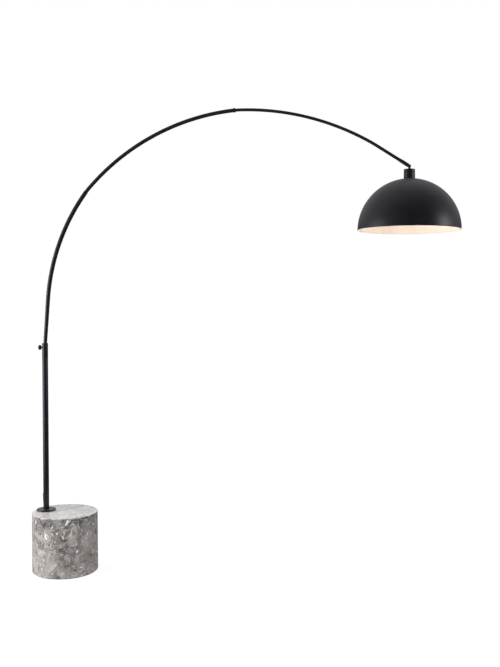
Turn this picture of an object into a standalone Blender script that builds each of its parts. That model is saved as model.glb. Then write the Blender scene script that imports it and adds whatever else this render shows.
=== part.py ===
"""Arc floor lamp: a polished stone drum carries a pole, and a three-piece arc arm rises from the pole and
hangs a lit dome over the room.

Metres, +Z up. The origin is the centre of the underside. The pole stands on the -X side of the drum and
the arm reaches out along +X, in the plane Y = 0. The arm turns and slides in the pole under a clamp knob,
and the shade tilts on a screw at the arm's tip.
"""

import math

import bmesh
import bpy
from mathutils import Vector

# ---------------------------------------------------------------- driving dimensions
GAP = 0.0003  # clearance between pieces that touch
THREAD_GAP = 0.0003  # clearance round a screw or a rod in its thread or hole
CUT_PAST = 0.01  # how far a cutter runs past what it cuts

PAD_INSET = 0.006  # pad's edge inside the drum's
PAD_THICKNESS = 0.003

MARBLE_RADIUS = 0.140
MARBLE_HEIGHT = 0.253
MARBLE_EDGE = 0.0025
RECESS_RADIUS = 0.030
RECESS_DEPTH = 0.022

ROD_RADIUS = 0.005
ROD_HOLE_CLEARANCE = 0.002
ROD_PROUD = 0.003  # rod below its nut
WASHER_RADIUS = 0.024
WASHER_THICKNESS = 0.003
NUT_ACROSS_FLATS = 0.017
NUT_HEIGHT = 0.008

POLE_INSET = 0.050  # pole axis inside the drum's side
FLANGE_RADIUS = 0.041
FLANGE_THICKNESS = 0.006
FLANGE_EDGE = 0.0012
POLE_WALL = 0.0015
POLE_LENGTH = 0.662
FOOT_PLUG_LENGTH = 0.022

OUTLET_ABOVE_PLUG = 0.003  # foot of the cord outlet above the plug in the pole's foot
OUTLET_LENGTH = 0.042
OUTLET_PROUD_TOP = 0.0034
OUTLET_PROUD_FOOT = 0.0016
OUTLET_RADIUS_TOP = 0.0045
OUTLET_RADIUS_FOOT = 0.0068
OUTLET_SLOT_WIDTH = 0.007
OUTLET_SLOT_MARGIN = 0.006  # of the outlet left above and below the slot
OUTLET_BORE_RADIUS = 0.0026
OUTLET_BORE_SLOPE = 40.0  # degrees from upright
OUTLET_EDGE = 0.0012

COLLAR_PROUD = 0.0003  # collar wider than the pole
COLLAR_LENGTH = 0.0625
COLLAR_EDGE = 0.0015
SPIGOT_LENGTH = 0.025
SPIGOT_WALL = 0.0007
BUSH_WALL = 0.0014
BUSH_RISE = 0.030  # bush above the foot of the visible collar
BUSH_LIP = 0.002

CLAMP_BELOW_TOP = 0.019  # clamp screw's axis under the collar's top
SCREW_RADIUS = 0.003
PRESSURE_PAD_RADIUS = 0.0024
PRESSURE_PAD_THICKNESS = 0.0012
INSERT_WALL = 0.0016
INSERT_PROUD = 0.0015
KNOB_RADIUS = 0.0107
KNOB_THICKNESS = 0.0065
KNOB_EDGE = 0.0018
KNOB_STANDOFF = 0.0085  # knob's inner face from the collar
KNOB_SOCKET_DEPTH = 0.004

STEM_DEPTH = 0.320  # arm below the collar's top
STEM_RADIUS = 0.0080
STEM_LEAN = 4.5  # degrees
STEM_BEND_RADIUS = 0.350
TAPER_LENGTH = 0.220  # the stem swells to the arm's full size over this length above the collar
GLIDE_HEIGHT = 0.012
GLIDE_SPIGOT = 0.015

STEM_SWELL = 0.0010  # lower tube's full radius over the stem's
LOWER_TUBE_WALL = 0.0009
LOWER_STRAIGHT = 0.191
LOWER_ARC_RADIUS = 0.827
LOWER_ARC_TURN = 34.6
MIDDLE_TUBE_WALL = 0.0010
MIDDLE_PLUG_CLEARANCE = 0.0003  # round the middle tube inside the lower one
MIDDLE_ARC_RADIUS = 0.970
MIDDLE_ARC_TURN = 43.1
UPPER_TUBE_WALL = 0.0009
UPPER_PLUG_CLEARANCE = 0.0006
UPPER_ARC_RADIUS = 1.085
UPPER_ARC_TURN = 30.35
TIP_STRAIGHT = 0.1655
JOINT_BEND_RADIUS = 0.204  # the short set bend beyond each plug joint
JOINT_1_SET = 4.9
JOINT_2_SET = 4.1
TIP_SET = 2.3
PLUG_LENGTH = 0.055  # tube inside the tube before it

JOINT_RING_WALL = 0.0010
JOINT_RING_LENGTH = 0.007
JOINT_RING_LIP = 0.002
JOINT_RING_EDGE = 0.0008
JOINT_RING_BACK_EDGE = 0.0006
GRUB_RADIUS = 0.0015
GRUB_LENGTH = 0.0025
GRUB_FROM_MOUTH = 0.015
GRUB_PROUD = 0.0001
GRUB_HOLE_PAST = 0.0006

FERRULE_WALL = 0.0006
FERRULE_LENGTH = 0.047
FERRULE_SOCKET = 0.028
FERRULE_EDGE = 0.001
PIVOT_SETBACK = 0.0045  # tilt axis from the ferrule's end
PIN_RADIUS = 0.002
PIN_HEAD_RADIUS = 0.0033
PIN_HEAD_HEIGHT = 0.0018
PIN_NUT_ACROSS_FLATS = 0.007
PIN_NUT_HEIGHT = 0.003
PIN_EDGE = 0.0006
PIN_PAST_NUT = 0.0008
SLOT_BEHIND_EYE = 0.0015

TONGUE_THICKNESS = 0.006
TONGUE_WIDTH = 0.0084
EYE_RADIUS = 0.0048
NECK_DROP = 0.0118  # tilt axis to the cup's top
STEM_DISC_RADIUS = 0.0080
STEM_DISC_THICKNESS = 0.0016
NIPPLE_RADIUS = 0.005
NIPPLE_BORE_RADIUS = 0.0026
NIPPLE_GRIP = 0.007  # nipple inside the lampholder's neck

CUP_CLEARANCE = 0.0010  # round the lampholder inside the cup's top
CUP_FLARE = 0.0004
CUP_HEIGHT = 0.0365
CUP_WALL = 0.0012
CUP_TOP_THICKNESS = 0.0015
CUP_EDGE = 0.0014
CUP_NUT_ACROSS_FLATS = 0.014
CUP_NUT_HEIGHT = 0.0035

HOLDER_WALL = 0.0047
HOLDER_NECK_RADIUS = 0.0080
HOLDER_NECK_HEIGHT = 0.007
HOLDER_SHOULDER = 0.004
HOLDER_CORNER_IN = 0.003  # the chamfer on the lampholder's shoulder
HOLDER_CORNER_UP = 0.001
HOLDER_CORNER_DOWN = 0.002
HOLDER_FLOOR = 0.0115
HOLDER_BELOW_CUP = 0.024
SHELL_WALL = 0.0006
CAP_THREAD_GAP = 0.0005  # round the bulb's cap in the threaded shell
SHELL_SETBACK = 0.0025
SHELL_BELOW_FLOOR = 0.004
CONTACT_RADIUS = 0.0050
CONTACT_THICKNESS = 0.0008

SHADE_RADIUS = 0.198
SHADE_WALL = 0.0012
RING_FLANGE_REACH = 0.0033  # ring's flange beyond its nut
RING_HEIGHT = 0.008
RING_FLANGE = 0.002
RING_NUT_WALL = 0.0034
RING_CLEARANCE = 0.0006  # round the lampholder in the ring and in the dome

BULB_RADIUS = 0.030
BULB_LENGTH = 0.106
BULB_GLASS_WALL = 0.0009
CAP_RADIUS = 0.0131
CAP_WALL = 0.0006
CAP_HEIGHT = 0.026
CAP_SHOULDER_IN = 0.0025
CAP_SHOULDER = 0.004
NECK_IN_CAP = 0.014
NECK_BELOW_CAP = 0.004
BULB_SHOULDER = 42.0  # degrees from the bulb's axis where its round body starts
TIP_RADIUS = 0.0045
TIP_PROUD = 0.0013
TIP_BELOW_CAP = 0.0005
THROAT_SHARES = (0.3, 0.6, 0.8)  # of the way from the bulb's neck to its round body
THROAT_POWER = 1.5

LEAD_RADIUS = 0.0025
GLIDE_BORE_RADIUS = 0.0032
LEAD_BELOW_GLIDE = 0.010
HOLDER_LEAD_SLACK = 0.0008  # round the lead in the hollow stem

FULL_TURN = math.radians(360)
STATION_TURN = math.radians(3.7)  # most turn between two stations of an arm tube
STATION_STEP = 0.110  # most length between two stations of a straight run

# ---------------------------------------------------------------- levels worked out from them
POLE_X = POLE_INSET - MARBLE_RADIUS
PAD_RADIUS = MARBLE_RADIUS - PAD_INSET
COLLAR_BORE_RADIUS = STEM_RADIUS + GAP + BUSH_WALL + GAP
SPIGOT_RADIUS = COLLAR_BORE_RADIUS + SPIGOT_WALL
POLE_BORE = SPIGOT_RADIUS + GAP
POLE_RADIUS = POLE_BORE + POLE_WALL
COLLAR_RADIUS = POLE_RADIUS + COLLAR_PROUD
INSERT_RADIUS = SCREW_RADIUS + INSERT_WALL
LOWER_TUBE_RADIUS = STEM_RADIUS + STEM_SWELL
MIDDLE_TUBE_RADIUS = LOWER_TUBE_RADIUS - LOWER_TUBE_WALL - MIDDLE_PLUG_CLEARANCE
UPPER_TUBE_RADIUS = MIDDLE_TUBE_RADIUS - MIDDLE_TUBE_WALL - UPPER_PLUG_CLEARANCE
JOINT_RING_RADIUS = MIDDLE_TUBE_RADIUS + GAP + JOINT_RING_WALL
FERRULE_RADIUS = UPPER_TUBE_RADIUS + GAP + FERRULE_WALL
SHELL_RADIUS = CAP_RADIUS + CAP_THREAD_GAP + SHELL_WALL
HOLDER_RADIUS = SHELL_RADIUS + GAP + HOLDER_WALL
CUP_RADIUS_TOP = HOLDER_RADIUS + CUP_CLEARANCE + CUP_WALL
CUP_RADIUS_FOOT = CUP_RADIUS_TOP + CUP_FLARE
RING_BORE_RADIUS = HOLDER_RADIUS + RING_CLEARANCE
RING_NUT_RADIUS = RING_BORE_RADIUS + RING_NUT_WALL
RING_RADIUS = RING_NUT_RADIUS + RING_FLANGE_REACH
CAP_TOP_RADIUS = CAP_RADIUS - CAP_SHOULDER_IN
MARBLE_FOOT = PAD_THICKNESS + GAP
MARBLE_TOP = MARBLE_FOOT + MARBLE_HEIGHT
RECESS_TOP = MARBLE_FOOT + RECESS_DEPTH
FLANGE_FOOT = MARBLE_TOP + GAP
FLANGE_TOP = FLANGE_FOOT + FLANGE_THICKNESS
POLE_FOOT = FLANGE_TOP + GAP
POLE_TOP = POLE_FOOT + POLE_LENGTH
OUTLET_FOOT = POLE_FOOT + FOOT_PLUG_LENGTH + OUTLET_ABOVE_PLUG
COLLAR_FOOT = POLE_TOP + GAP
COLLAR_TOP = COLLAR_FOOT + COLLAR_LENGTH
SPIGOT_FOOT = COLLAR_FOOT - SPIGOT_LENGTH
BUSH_RADIUS = COLLAR_BORE_RADIUS - GAP
BUSH_FOOT = SPIGOT_FOOT - GAP - BUSH_LIP
CLAMP_Z = COLLAR_TOP - CLAMP_BELOW_TOP
ROD_BORE = ROD_RADIUS + THREAD_GAP
SCREW_BORE = SCREW_RADIUS + THREAD_GAP
PIN_BORE = PIN_RADIUS + THREAD_GAP
NIPPLE_BORE = NIPPLE_RADIUS + THREAD_GAP
STEM_FOOT = COLLAR_TOP - STEM_DEPTH
STEM_BORE = STEM_RADIUS - LOWER_TUBE_WALL

COLOURS = {
    "black_paint": ((0.012, 0.012, 0.014), 0.42, 0.0),
    "marble": ((0.36, 0.34, 0.32), 0.16, 0.0),
    "felt": ((0.03, 0.03, 0.03), 0.95, 0.0),
    "zinc": ((0.60, 0.60, 0.58), 0.35, 1.0),
    "nylon": ((0.05, 0.05, 0.05), 0.55, 0.0),
    "brass": ((0.72, 0.53, 0.25), 0.30, 1.0),
    "opal_glass": ((0.95, 0.90, 0.80), 0.25, 0.0),
    "ceramic": ((0.80, 0.79, 0.75), 0.35, 0.0),
    "cord_sleeve": ((0.02, 0.02, 0.02), 0.60, 0.0),
}


# ---------------------------------------------------------------- scene helpers
def clear_scene():
    for item in list(bpy.data.objects):
        bpy.data.objects.remove(item, do_unlink=True)


def new_collection(name, helper=False):
    made = bpy.data.collections.new(name)
    bpy.context.scene.collection.children.link(made)
    made.hide_render = helper
    return made


def new_material(name, finish):
    colour, roughness, metallic = COLOURS[finish]
    made = bpy.data.materials.new(name)
    made.use_nodes = True
    shader = made.node_tree.nodes["Principled BSDF"]
    shader.inputs["Base Color"].default_value = (*colour, 1.0)
    shader.inputs["Roughness"].default_value = roughness
    shader.inputs["Metallic"].default_value = metallic
    made.diffuse_color = (*colour, 1.0)
    return made


clear_scene()
LAMP = new_collection("arc_floor_lamp")
CUTTERS = new_collection("arc_floor_lamp_cutters", helper=True)


def place(name, data, finish, location=(0, 0, 0), rotation=(0, 0, 0)):
    """One sub-part of the lamp, with a material of its own."""
    made = bpy.data.objects.new(name, data)
    LAMP.objects.link(made)
    made.location = location
    made.rotation_euler = rotation
    made.data.materials.append(new_material(name, finish))
    return made


def place_cutter(name, data, location=(0, 0, 0), rotation=(0, 0, 0)):
    made = bpy.data.objects.new(name, data)
    CUTTERS.objects.link(made)
    made.location = location
    made.rotation_euler = rotation
    made.hide_render = True
    made.display_type = "WIRE"
    return made


def shade_smooth(mesh, angle=35.0):
    mesh.shade_smooth()
    mesh.set_sharp_from_angle(angle=math.radians(angle))


def boolean(target, other, operation="DIFFERENCE"):
    modifier = target.modifiers.new(f"{operation.lower()}_{other.name}", "BOOLEAN")
    modifier.operation = operation
    modifier.solver = "EXACT"
    modifier.object = other


def cylinder_mesh(name, radius, low, high, segments=24, radius_high=None):
    """A cylinder or cone along local Z, from low to high."""
    shape = bmesh.new()
    bmesh.ops.create_cone(
        shape,
        cap_ends=True,
        segments=segments,
        radius1=radius,
        radius2=radius if radius_high is None else radius_high,
        depth=high - low,
    )
    bmesh.ops.translate(shape, verts=shape.verts, vec=(0, 0, (low + high) / 2))
    mesh = bpy.data.meshes.new(name)
    shape.to_mesh(mesh)
    shape.free()
    shade_smooth(mesh)
    return mesh


def box_mesh(name, low, high):
    shape = bmesh.new()
    bmesh.ops.create_cube(shape, size=1.0)
    low, high = Vector(low), Vector(high)
    bmesh.ops.scale(shape, verts=shape.verts, vec=high - low)
    bmesh.ops.translate(shape, verts=shape.verts, vec=(low + high) / 2)
    mesh = bpy.data.meshes.new(name)
    shape.to_mesh(mesh)
    shape.free()
    return mesh


def turned(name, profile, finish, location=(0, 0, 0), rotation=(0, 0, 0), steps=32, closed=True):
    """A turned piece: profile is (radius, height) down its outer side, then back up its bore if closed."""
    mesh = bpy.data.meshes.new(name)
    points = [(radius, 0.0, height) for radius, height in profile]
    edges = [(index, index + 1) for index in range(len(points) - 1)]
    if closed:
        edges.append((len(points) - 1, 0))
    mesh.from_pydata(points, edges, [])
    made = place(name, mesh, finish, location, rotation)
    screw = made.modifiers.new("turn", "SCREW")
    screw.angle = FULL_TURN
    screw.steps = steps
    screw.render_steps = steps
    screw.use_merge_vertices = True
    screw.merge_threshold = 0.00001
    screw.use_smooth_shade = True
    return made


def rounded(radius, height, edge, side, steps=3):
    """Points of a turned corner at (radius, height): side 1 is a top edge, -1 is a bottom edge."""
    points = []
    for step in range(steps + 1):
        angle = math.radians(90) * step / steps
        across, along = math.sin(angle), math.cos(angle)
        if side < 0:
            across, along = along, across
        points.append((radius - edge + edge * across, height - side * edge + side * edge * along))
    return points


def hex_nut(name, across_flats, height, bore, finish, location, rotation=(0, 0, 0)):
    corner = across_flats / 2 / math.cos(math.radians(30))
    made = place(name, cylinder_mesh(name, corner, 0, height, segments=6), finish, location, rotation)
    hole = cylinder_mesh(f"{name}_hole", bore, -height, 2 * height)
    boolean(made, place_cutter(f"{name}_hole", hole, location, rotation))
    return made


def carried_by(axis, *pieces):
    """Parents the pieces to an empty on their joint's axis and leaves them where they are."""
    bpy.context.view_layer.update()
    for piece in pieces:
        piece.parent = axis
        piece.matrix_parent_inverse = axis.matrix_world.inverted()


def joint_axis(name, location):
    axis = bpy.data.objects.new(name, None)
    LAMP.objects.link(axis)
    axis.location = location
    axis.empty_display_size = 0.02
    return axis


# ---------------------------------------------------------------- the arm's centre line
def bend(radius, degrees):
    return (radius * math.radians(degrees), 1.0 / radius)


def straight(length):
    return (length, 0.0)


STEM_BEND = bend(STEM_BEND_RADIUS, STEM_LEAN)
STEM_BEND_RISE = STEM_BEND_RADIUS * math.sin(math.radians(STEM_LEAN))
RUNS = (
    straight(STEM_DEPTH - STEM_BEND_RISE),
    STEM_BEND,
    straight(LOWER_STRAIGHT),
    bend(LOWER_ARC_RADIUS, LOWER_ARC_TURN),
    bend(JOINT_BEND_RADIUS, JOINT_1_SET),
    bend(MIDDLE_ARC_RADIUS, MIDDLE_ARC_TURN),
    bend(JOINT_BEND_RADIUS, JOINT_2_SET),
    bend(UPPER_ARC_RADIUS, UPPER_ARC_TURN),
    bend(JOINT_BEND_RADIUS, TIP_SET),
    straight(TIP_STRAIGHT),
)
STEM_MOUTH_S = sum(length for length, _ in RUNS[:2])
JOINT_1_S = sum(length for length, _ in RUNS[:4])
JOINT_2_S = sum(length for length, _ in RUNS[:6])
ARM_END_S = sum(length for length, _ in RUNS)
PLUG_FEET_S = (JOINT_1_S - PLUG_LENGTH, JOINT_2_S - PLUG_LENGTH)


def arm_at(along):
    """Point and heading (radians above +X) of the arm's centre line at a length along it."""
    x, z, heading = POLE_X, STEM_FOOT, math.radians(90)
    for length, curvature in RUNS:
        step = min(length, along)
        turned_by = step * curvature
        chord = step if turned_by == 0 else 2 / curvature * math.sin(turned_by / 2)
        x += chord * math.cos(heading - turned_by / 2)
        z += chord * math.sin(heading - turned_by / 2)
        heading -= turned_by
        along -= step
        if along <= 0:
            break
    return Vector((x, 0, z)), heading


def stations(start, end):
    """Lengths along the arm between start and end: the same ones for every piece, so that the tubes nest."""
    found, passed = [], 0.0
    for length, curvature in RUNS:
        feet = [foot for foot in PLUG_FEET_S if passed < foot < passed + length]
        marks = [passed, *feet, passed + length]
        passed += length
        for low, high in zip(marks, marks[1:]):
            turns = (high - low) * curvature / STATION_TURN
            count = max(1, math.ceil(turns), math.ceil((high - low) / STATION_STEP))
            found += [low + (high - low) * index / count for index in range(count)]
    between = [along for along in found if start + GAP < along < end - GAP]
    return [start, *between, end]


def along_rotation(heading):
    """Turns local +Z onto the arm's heading."""
    return (0, math.radians(90) - heading, 0)


def path_curve(name, lengths, radius, scale, sides, capped):
    curve = bpy.data.curves.new(name, "CURVE")
    curve.dimensions = "3D"
    curve.bevel_depth = radius
    curve.bevel_resolution = sides
    curve.use_fill_caps = capped
    spline = curve.splines.new("POLY")
    spline.points.add(len(lengths) - 1)
    for point, along in zip(spline.points, lengths):
        point.co = (*arm_at(along)[0], 1.0)
        point.radius = scale(along)
    return curve


def arm_tube(name, start, end, radius, wall, scale=lambda along: 1.0):
    """A hollow tube on the arm's centre line: an open surface, thickened inwards."""
    curve = path_curve(name, stations(start, end), radius, scale, sides=4, capped=False)
    guide = bpy.data.objects.new(f"{name}_line", curve)
    CUTTERS.objects.link(guide)
    bpy.context.view_layer.update()
    graph = bpy.context.evaluated_depsgraph_get()
    mesh = bpy.data.meshes.new_from_object(guide.evaluated_get(graph))
    bpy.data.objects.remove(guide, do_unlink=True)
    shade_smooth(mesh)
    made = place(name, mesh, "black_paint")
    skin = made.modifiers.new("wall", "SOLIDIFY")
    skin.thickness = wall
    skin.offset = -1.0
    return made


def arm_rod(name, start, end, radius, finish):
    """A solid round piece on the arm's centre line."""
    curve = path_curve(name, stations(start, end), radius, lambda along: 1.0, sides=2, capped=True)
    return place(name, curve, finish)


# ---------------------------------------------------------------- base
def build_base():
    pad = place("base_pad", cylinder_mesh("base_pad", PAD_RADIUS, 0, PAD_THICKNESS, segments=48), "felt")

    drum = cylinder_mesh("marble_base", MARBLE_RADIUS, MARBLE_FOOT, MARBLE_TOP, segments=64)
    marble = place("marble_base", drum, "marble")
    edge = marble.modifiers.new("edge", "BEVEL")
    edge.width = MARBLE_EDGE
    edge.segments = 2
    edge.limit_method = "ANGLE"
    edge.angle_limit = math.radians(60)
    rod_hole = cylinder_mesh("rod_hole", ROD_RADIUS + ROD_HOLE_CLEARANCE, -CUT_PAST, MARBLE_TOP + CUT_PAST)
    recess = cylinder_mesh("recess", RECESS_RADIUS, -CUT_PAST, RECESS_TOP, segments=24)
    boolean(marble, place_cutter("rod_hole", rod_hole, (POLE_X, 0, 0)))
    boolean(marble, place_cutter("recess", recess, (POLE_X, 0, 0)))
    return pad, marble


def build_anchor():
    washer_top = RECESS_TOP - GAP
    washer_foot = washer_top - WASHER_THICKNESS
    nut_foot = washer_foot - GAP - NUT_HEIGHT
    washer = [
        (ROD_BORE, washer_top),
        (WASHER_RADIUS, washer_top),
        (WASHER_RADIUS, washer_foot),
        (ROD_BORE, washer_foot),
    ]
    turned("anchor_washer", washer, "zinc", (POLE_X, 0, 0), steps=24)
    hex_nut("anchor_nut", NUT_ACROSS_FLATS, NUT_HEIGHT, ROD_BORE, "zinc", (POLE_X, 0, nut_foot))
    rod_top = POLE_FOOT + FOOT_PLUG_LENGTH
    rod = cylinder_mesh("anchor_rod", ROD_RADIUS, nut_foot - ROD_PROUD, rod_top, segments=20)
    place("anchor_rod", rod, "zinc", (POLE_X, 0, 0))


# ---------------------------------------------------------------- pole
def build_pole():
    flange = rounded(FLANGE_RADIUS, FLANGE_TOP, FLANGE_EDGE, 1, 2)
    flange = [(ROD_BORE, FLANGE_TOP), *flange, (FLANGE_RADIUS, FLANGE_FOOT), (ROD_BORE, FLANGE_FOOT)]
    turned("foot_flange", flange, "black_paint", (POLE_X, 0, 0), steps=36)

    plug_top = POLE_FOOT + FOOT_PLUG_LENGTH
    plug_radius = POLE_BORE - GAP
    plug = [(ROD_BORE, plug_top), (plug_radius, plug_top), (plug_radius, POLE_FOOT), (ROD_BORE, POLE_FOOT)]
    turned("pole_foot_plug", plug, "zinc", (POLE_X, 0, 0), steps=24)

    wall = [(POLE_BORE, POLE_TOP), (POLE_RADIUS, POLE_TOP), (POLE_RADIUS, POLE_FOOT), (POLE_BORE, POLE_FOOT)]
    pole = turned("pole_tube", wall, "black_paint", (POLE_X, 0, 0), steps=24)
    slot = outlet_block("outlet_slot", GAP)
    boolean(pole, place_cutter("outlet_slot", slot, (POLE_X, 0, OUTLET_FOOT)))


def outlet_block(name, clearance):
    """The part of the cord outlet that passes through the pole's wall, or the slot for it."""
    half = OUTLET_SLOT_WIDTH / 2 + clearance
    low = OUTLET_SLOT_MARGIN - clearance
    high = OUTLET_LENGTH - OUTLET_SLOT_MARGIN + clearance
    depth = POLE_BORE - POLE_WALL + (0 if clearance else GAP)
    return box_mesh(name, (-POLE_RADIUS - OUTLET_PROUD_FOOT / 2, -half, low), (-depth, half, high))


def build_outlet():
    """The cord outlet: a tapered hood over a slot in the back of the pole, bored on a slope for the cord."""
    foot = (POLE_X, 0, OUTLET_FOOT)
    shape = bmesh.new()
    bmesh.ops.create_cone(
        shape,
        cap_ends=True,
        segments=28,
        radius1=OUTLET_RADIUS_FOOT,
        radius2=OUTLET_RADIUS_TOP,
        depth=OUTLET_LENGTH,
    )
    for corner in shape.verts:
        at_top = corner.co.z > 0
        radius = OUTLET_RADIUS_TOP if at_top else OUTLET_RADIUS_FOOT
        proud = OUTLET_PROUD_TOP if at_top else OUTLET_PROUD_FOOT
        corner.co.x -= POLE_RADIUS + proud - radius
        corner.co.z += OUTLET_LENGTH / 2
    mesh = bpy.data.meshes.new("cord_outlet")
    shape.to_mesh(mesh)
    shape.free()
    shade_smooth(mesh)
    outlet = place("cord_outlet", mesh, "nylon", foot)
    edge = outlet.modifiers.new("edge", "BEVEL")
    edge.width = OUTLET_EDGE
    edge.segments = 2
    edge.limit_method = "ANGLE"
    edge.angle_limit = math.radians(60)
    past_top = OUTLET_LENGTH + CUT_PAST
    pole_space = cylinder_mesh("outlet_pole_space", POLE_RADIUS + GAP, -CUT_PAST, past_top, segments=24)
    boolean(outlet, place_cutter("outlet_pole_space", pole_space, foot))
    boolean(outlet, place_cutter("outlet_plug", outlet_block("outlet_plug", 0.0), foot), "UNION")
    bore = cylinder_mesh("outlet_bore", OUTLET_BORE_RADIUS, -OUTLET_LENGTH, OUTLET_LENGTH, segments=16)
    centre = (POLE_X - POLE_RADIUS, 0, foot[2] + OUTLET_LENGTH / 2)
    slope = (0, math.radians(OUTLET_BORE_SLOPE), 0)
    boolean(outlet, place_cutter("outlet_bore", bore, centre, slope))


def build_pole_lead():
    """The lead inside the pole, from the outlet's level up to just under the arm's stem."""
    low = OUTLET_FOOT + OUTLET_LENGTH
    high = STEM_FOOT - GLIDE_HEIGHT - LEAD_BELOW_GLIDE
    lead = cylinder_mesh("pole_lead", LEAD_RADIUS, low, high, segments=12)
    place("pole_lead", lead, "cord_sleeve", (POLE_X, 0, 0))


# ---------------------------------------------------------------- collar and clamp
def build_collar():
    profile = [
        (COLLAR_BORE_RADIUS, COLLAR_TOP),
        *rounded(COLLAR_RADIUS, COLLAR_TOP, COLLAR_EDGE, 1),
        (COLLAR_RADIUS, COLLAR_FOOT),
        (SPIGOT_RADIUS, COLLAR_FOOT),
        (SPIGOT_RADIUS, SPIGOT_FOOT),
        (COLLAR_BORE_RADIUS, SPIGOT_FOOT),
    ]
    collar = turned("clamp_collar", profile, "black_paint", (POLE_X, 0, 0), steps=24)
    hole = cylinder_mesh("insert_hole", INSERT_RADIUS + GAP, 0, COLLAR_RADIUS + CUT_PAST)
    boolean(collar, place_cutter("insert_hole", hole, (POLE_X, 0, CLAMP_Z), (0, math.radians(-90), 0)))

    bush_bore = STEM_RADIUS + GAP
    bush_top = COLLAR_FOOT + BUSH_RISE
    bush = [
        (bush_bore, bush_top),
        (BUSH_RADIUS, bush_top),
        (BUSH_RADIUS, BUSH_FOOT + BUSH_LIP),
        (SPIGOT_RADIUS, BUSH_FOOT + BUSH_LIP),
        (SPIGOT_RADIUS, BUSH_FOOT),
        (bush_bore, BUSH_FOOT),
    ]
    return turned("guide_bush", bush, "nylon", (POLE_X, 0, 0), steps=24)


def build_clamp():
    """The clamp's pieces, on the screw's axis: local +Z points out along -X from the pole's axis."""
    centre = (POLE_X, 0, CLAMP_Z)
    outward = (0, math.radians(-90), 0)
    pad_low = STEM_RADIUS + GAP
    pad_high = pad_low + PRESSURE_PAD_THICKNESS
    pad = cylinder_mesh("pressure_pad", PRESSURE_PAD_RADIUS, pad_low, pad_high, segments=20)
    pressure_pad = place("pressure_pad", pad, "nylon", centre, outward)

    insert_low, insert_high = COLLAR_BORE_RADIUS + GAP, COLLAR_RADIUS + INSERT_PROUD
    insert = [
        (SCREW_BORE, insert_high),
        (INSERT_RADIUS, insert_high),
        (INSERT_RADIUS, insert_low),
        (SCREW_BORE, insert_low),
    ]
    turned("clamp_insert", insert, "black_paint", centre, outward, steps=24)

    knob_low = COLLAR_RADIUS + KNOB_STANDOFF
    knob_high = knob_low + KNOB_THICKNESS
    socket_top = knob_low + KNOB_SOCKET_DEPTH
    screw = cylinder_mesh("clamp_screw", SCREW_RADIUS, pad_high + GAP, socket_top - GAP, segments=20)
    clamp_screw = place("clamp_screw", screw, "black_paint", centre, outward)
    profile = [
        (0, knob_high),
        *rounded(KNOB_RADIUS, knob_high, KNOB_EDGE, 1, 2),
        *rounded(KNOB_RADIUS, knob_low, KNOB_EDGE, -1, 2),
        (SCREW_BORE, knob_low),
        (SCREW_BORE, socket_top),
        (0, socket_top),
    ]
    knob = turned("clamp_knob", profile, "black_paint", centre, outward, steps=24, closed=False)
    carried_by(joint_axis("knob_axis", centre), pressure_pad, clamp_screw, knob)


# ---------------------------------------------------------------- arm
def stem_scale(along):
    """The lower tube is drawn down to the stem's size where it enters the collar."""
    smallest = STEM_RADIUS / LOWER_TUBE_RADIUS
    grown = min(1.0, max(0.0, (along - STEM_MOUTH_S) / TAPER_LENGTH))
    return smallest + (1.0 - smallest) * grown


def grub_screw(name, outer_tube, inner_tube, along, surface_radius):
    """A headless screw up through the underside of a plug joint, with its hole through both walls."""
    centre, heading = arm_at(along)
    inward = (0, -heading, 0)
    low = -surface_radius - GRUB_PROUD
    body = cylinder_mesh(name, GRUB_RADIUS, low, low + GRUB_LENGTH, segments=16)
    screw = place(name, body, "zinc", centre, inward)
    hole_top = low + GRUB_LENGTH + GRUB_HOLE_PAST
    hole = cylinder_mesh(f"{name}_hole", GRUB_RADIUS + THREAD_GAP, low - GRUB_LENGTH, hole_top, segments=16)
    cutter = place_cutter(f"{name}_hole", hole, centre, inward)
    boolean(outer_tube, cutter)
    boolean(inner_tube, cutter)
    return screw


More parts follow.
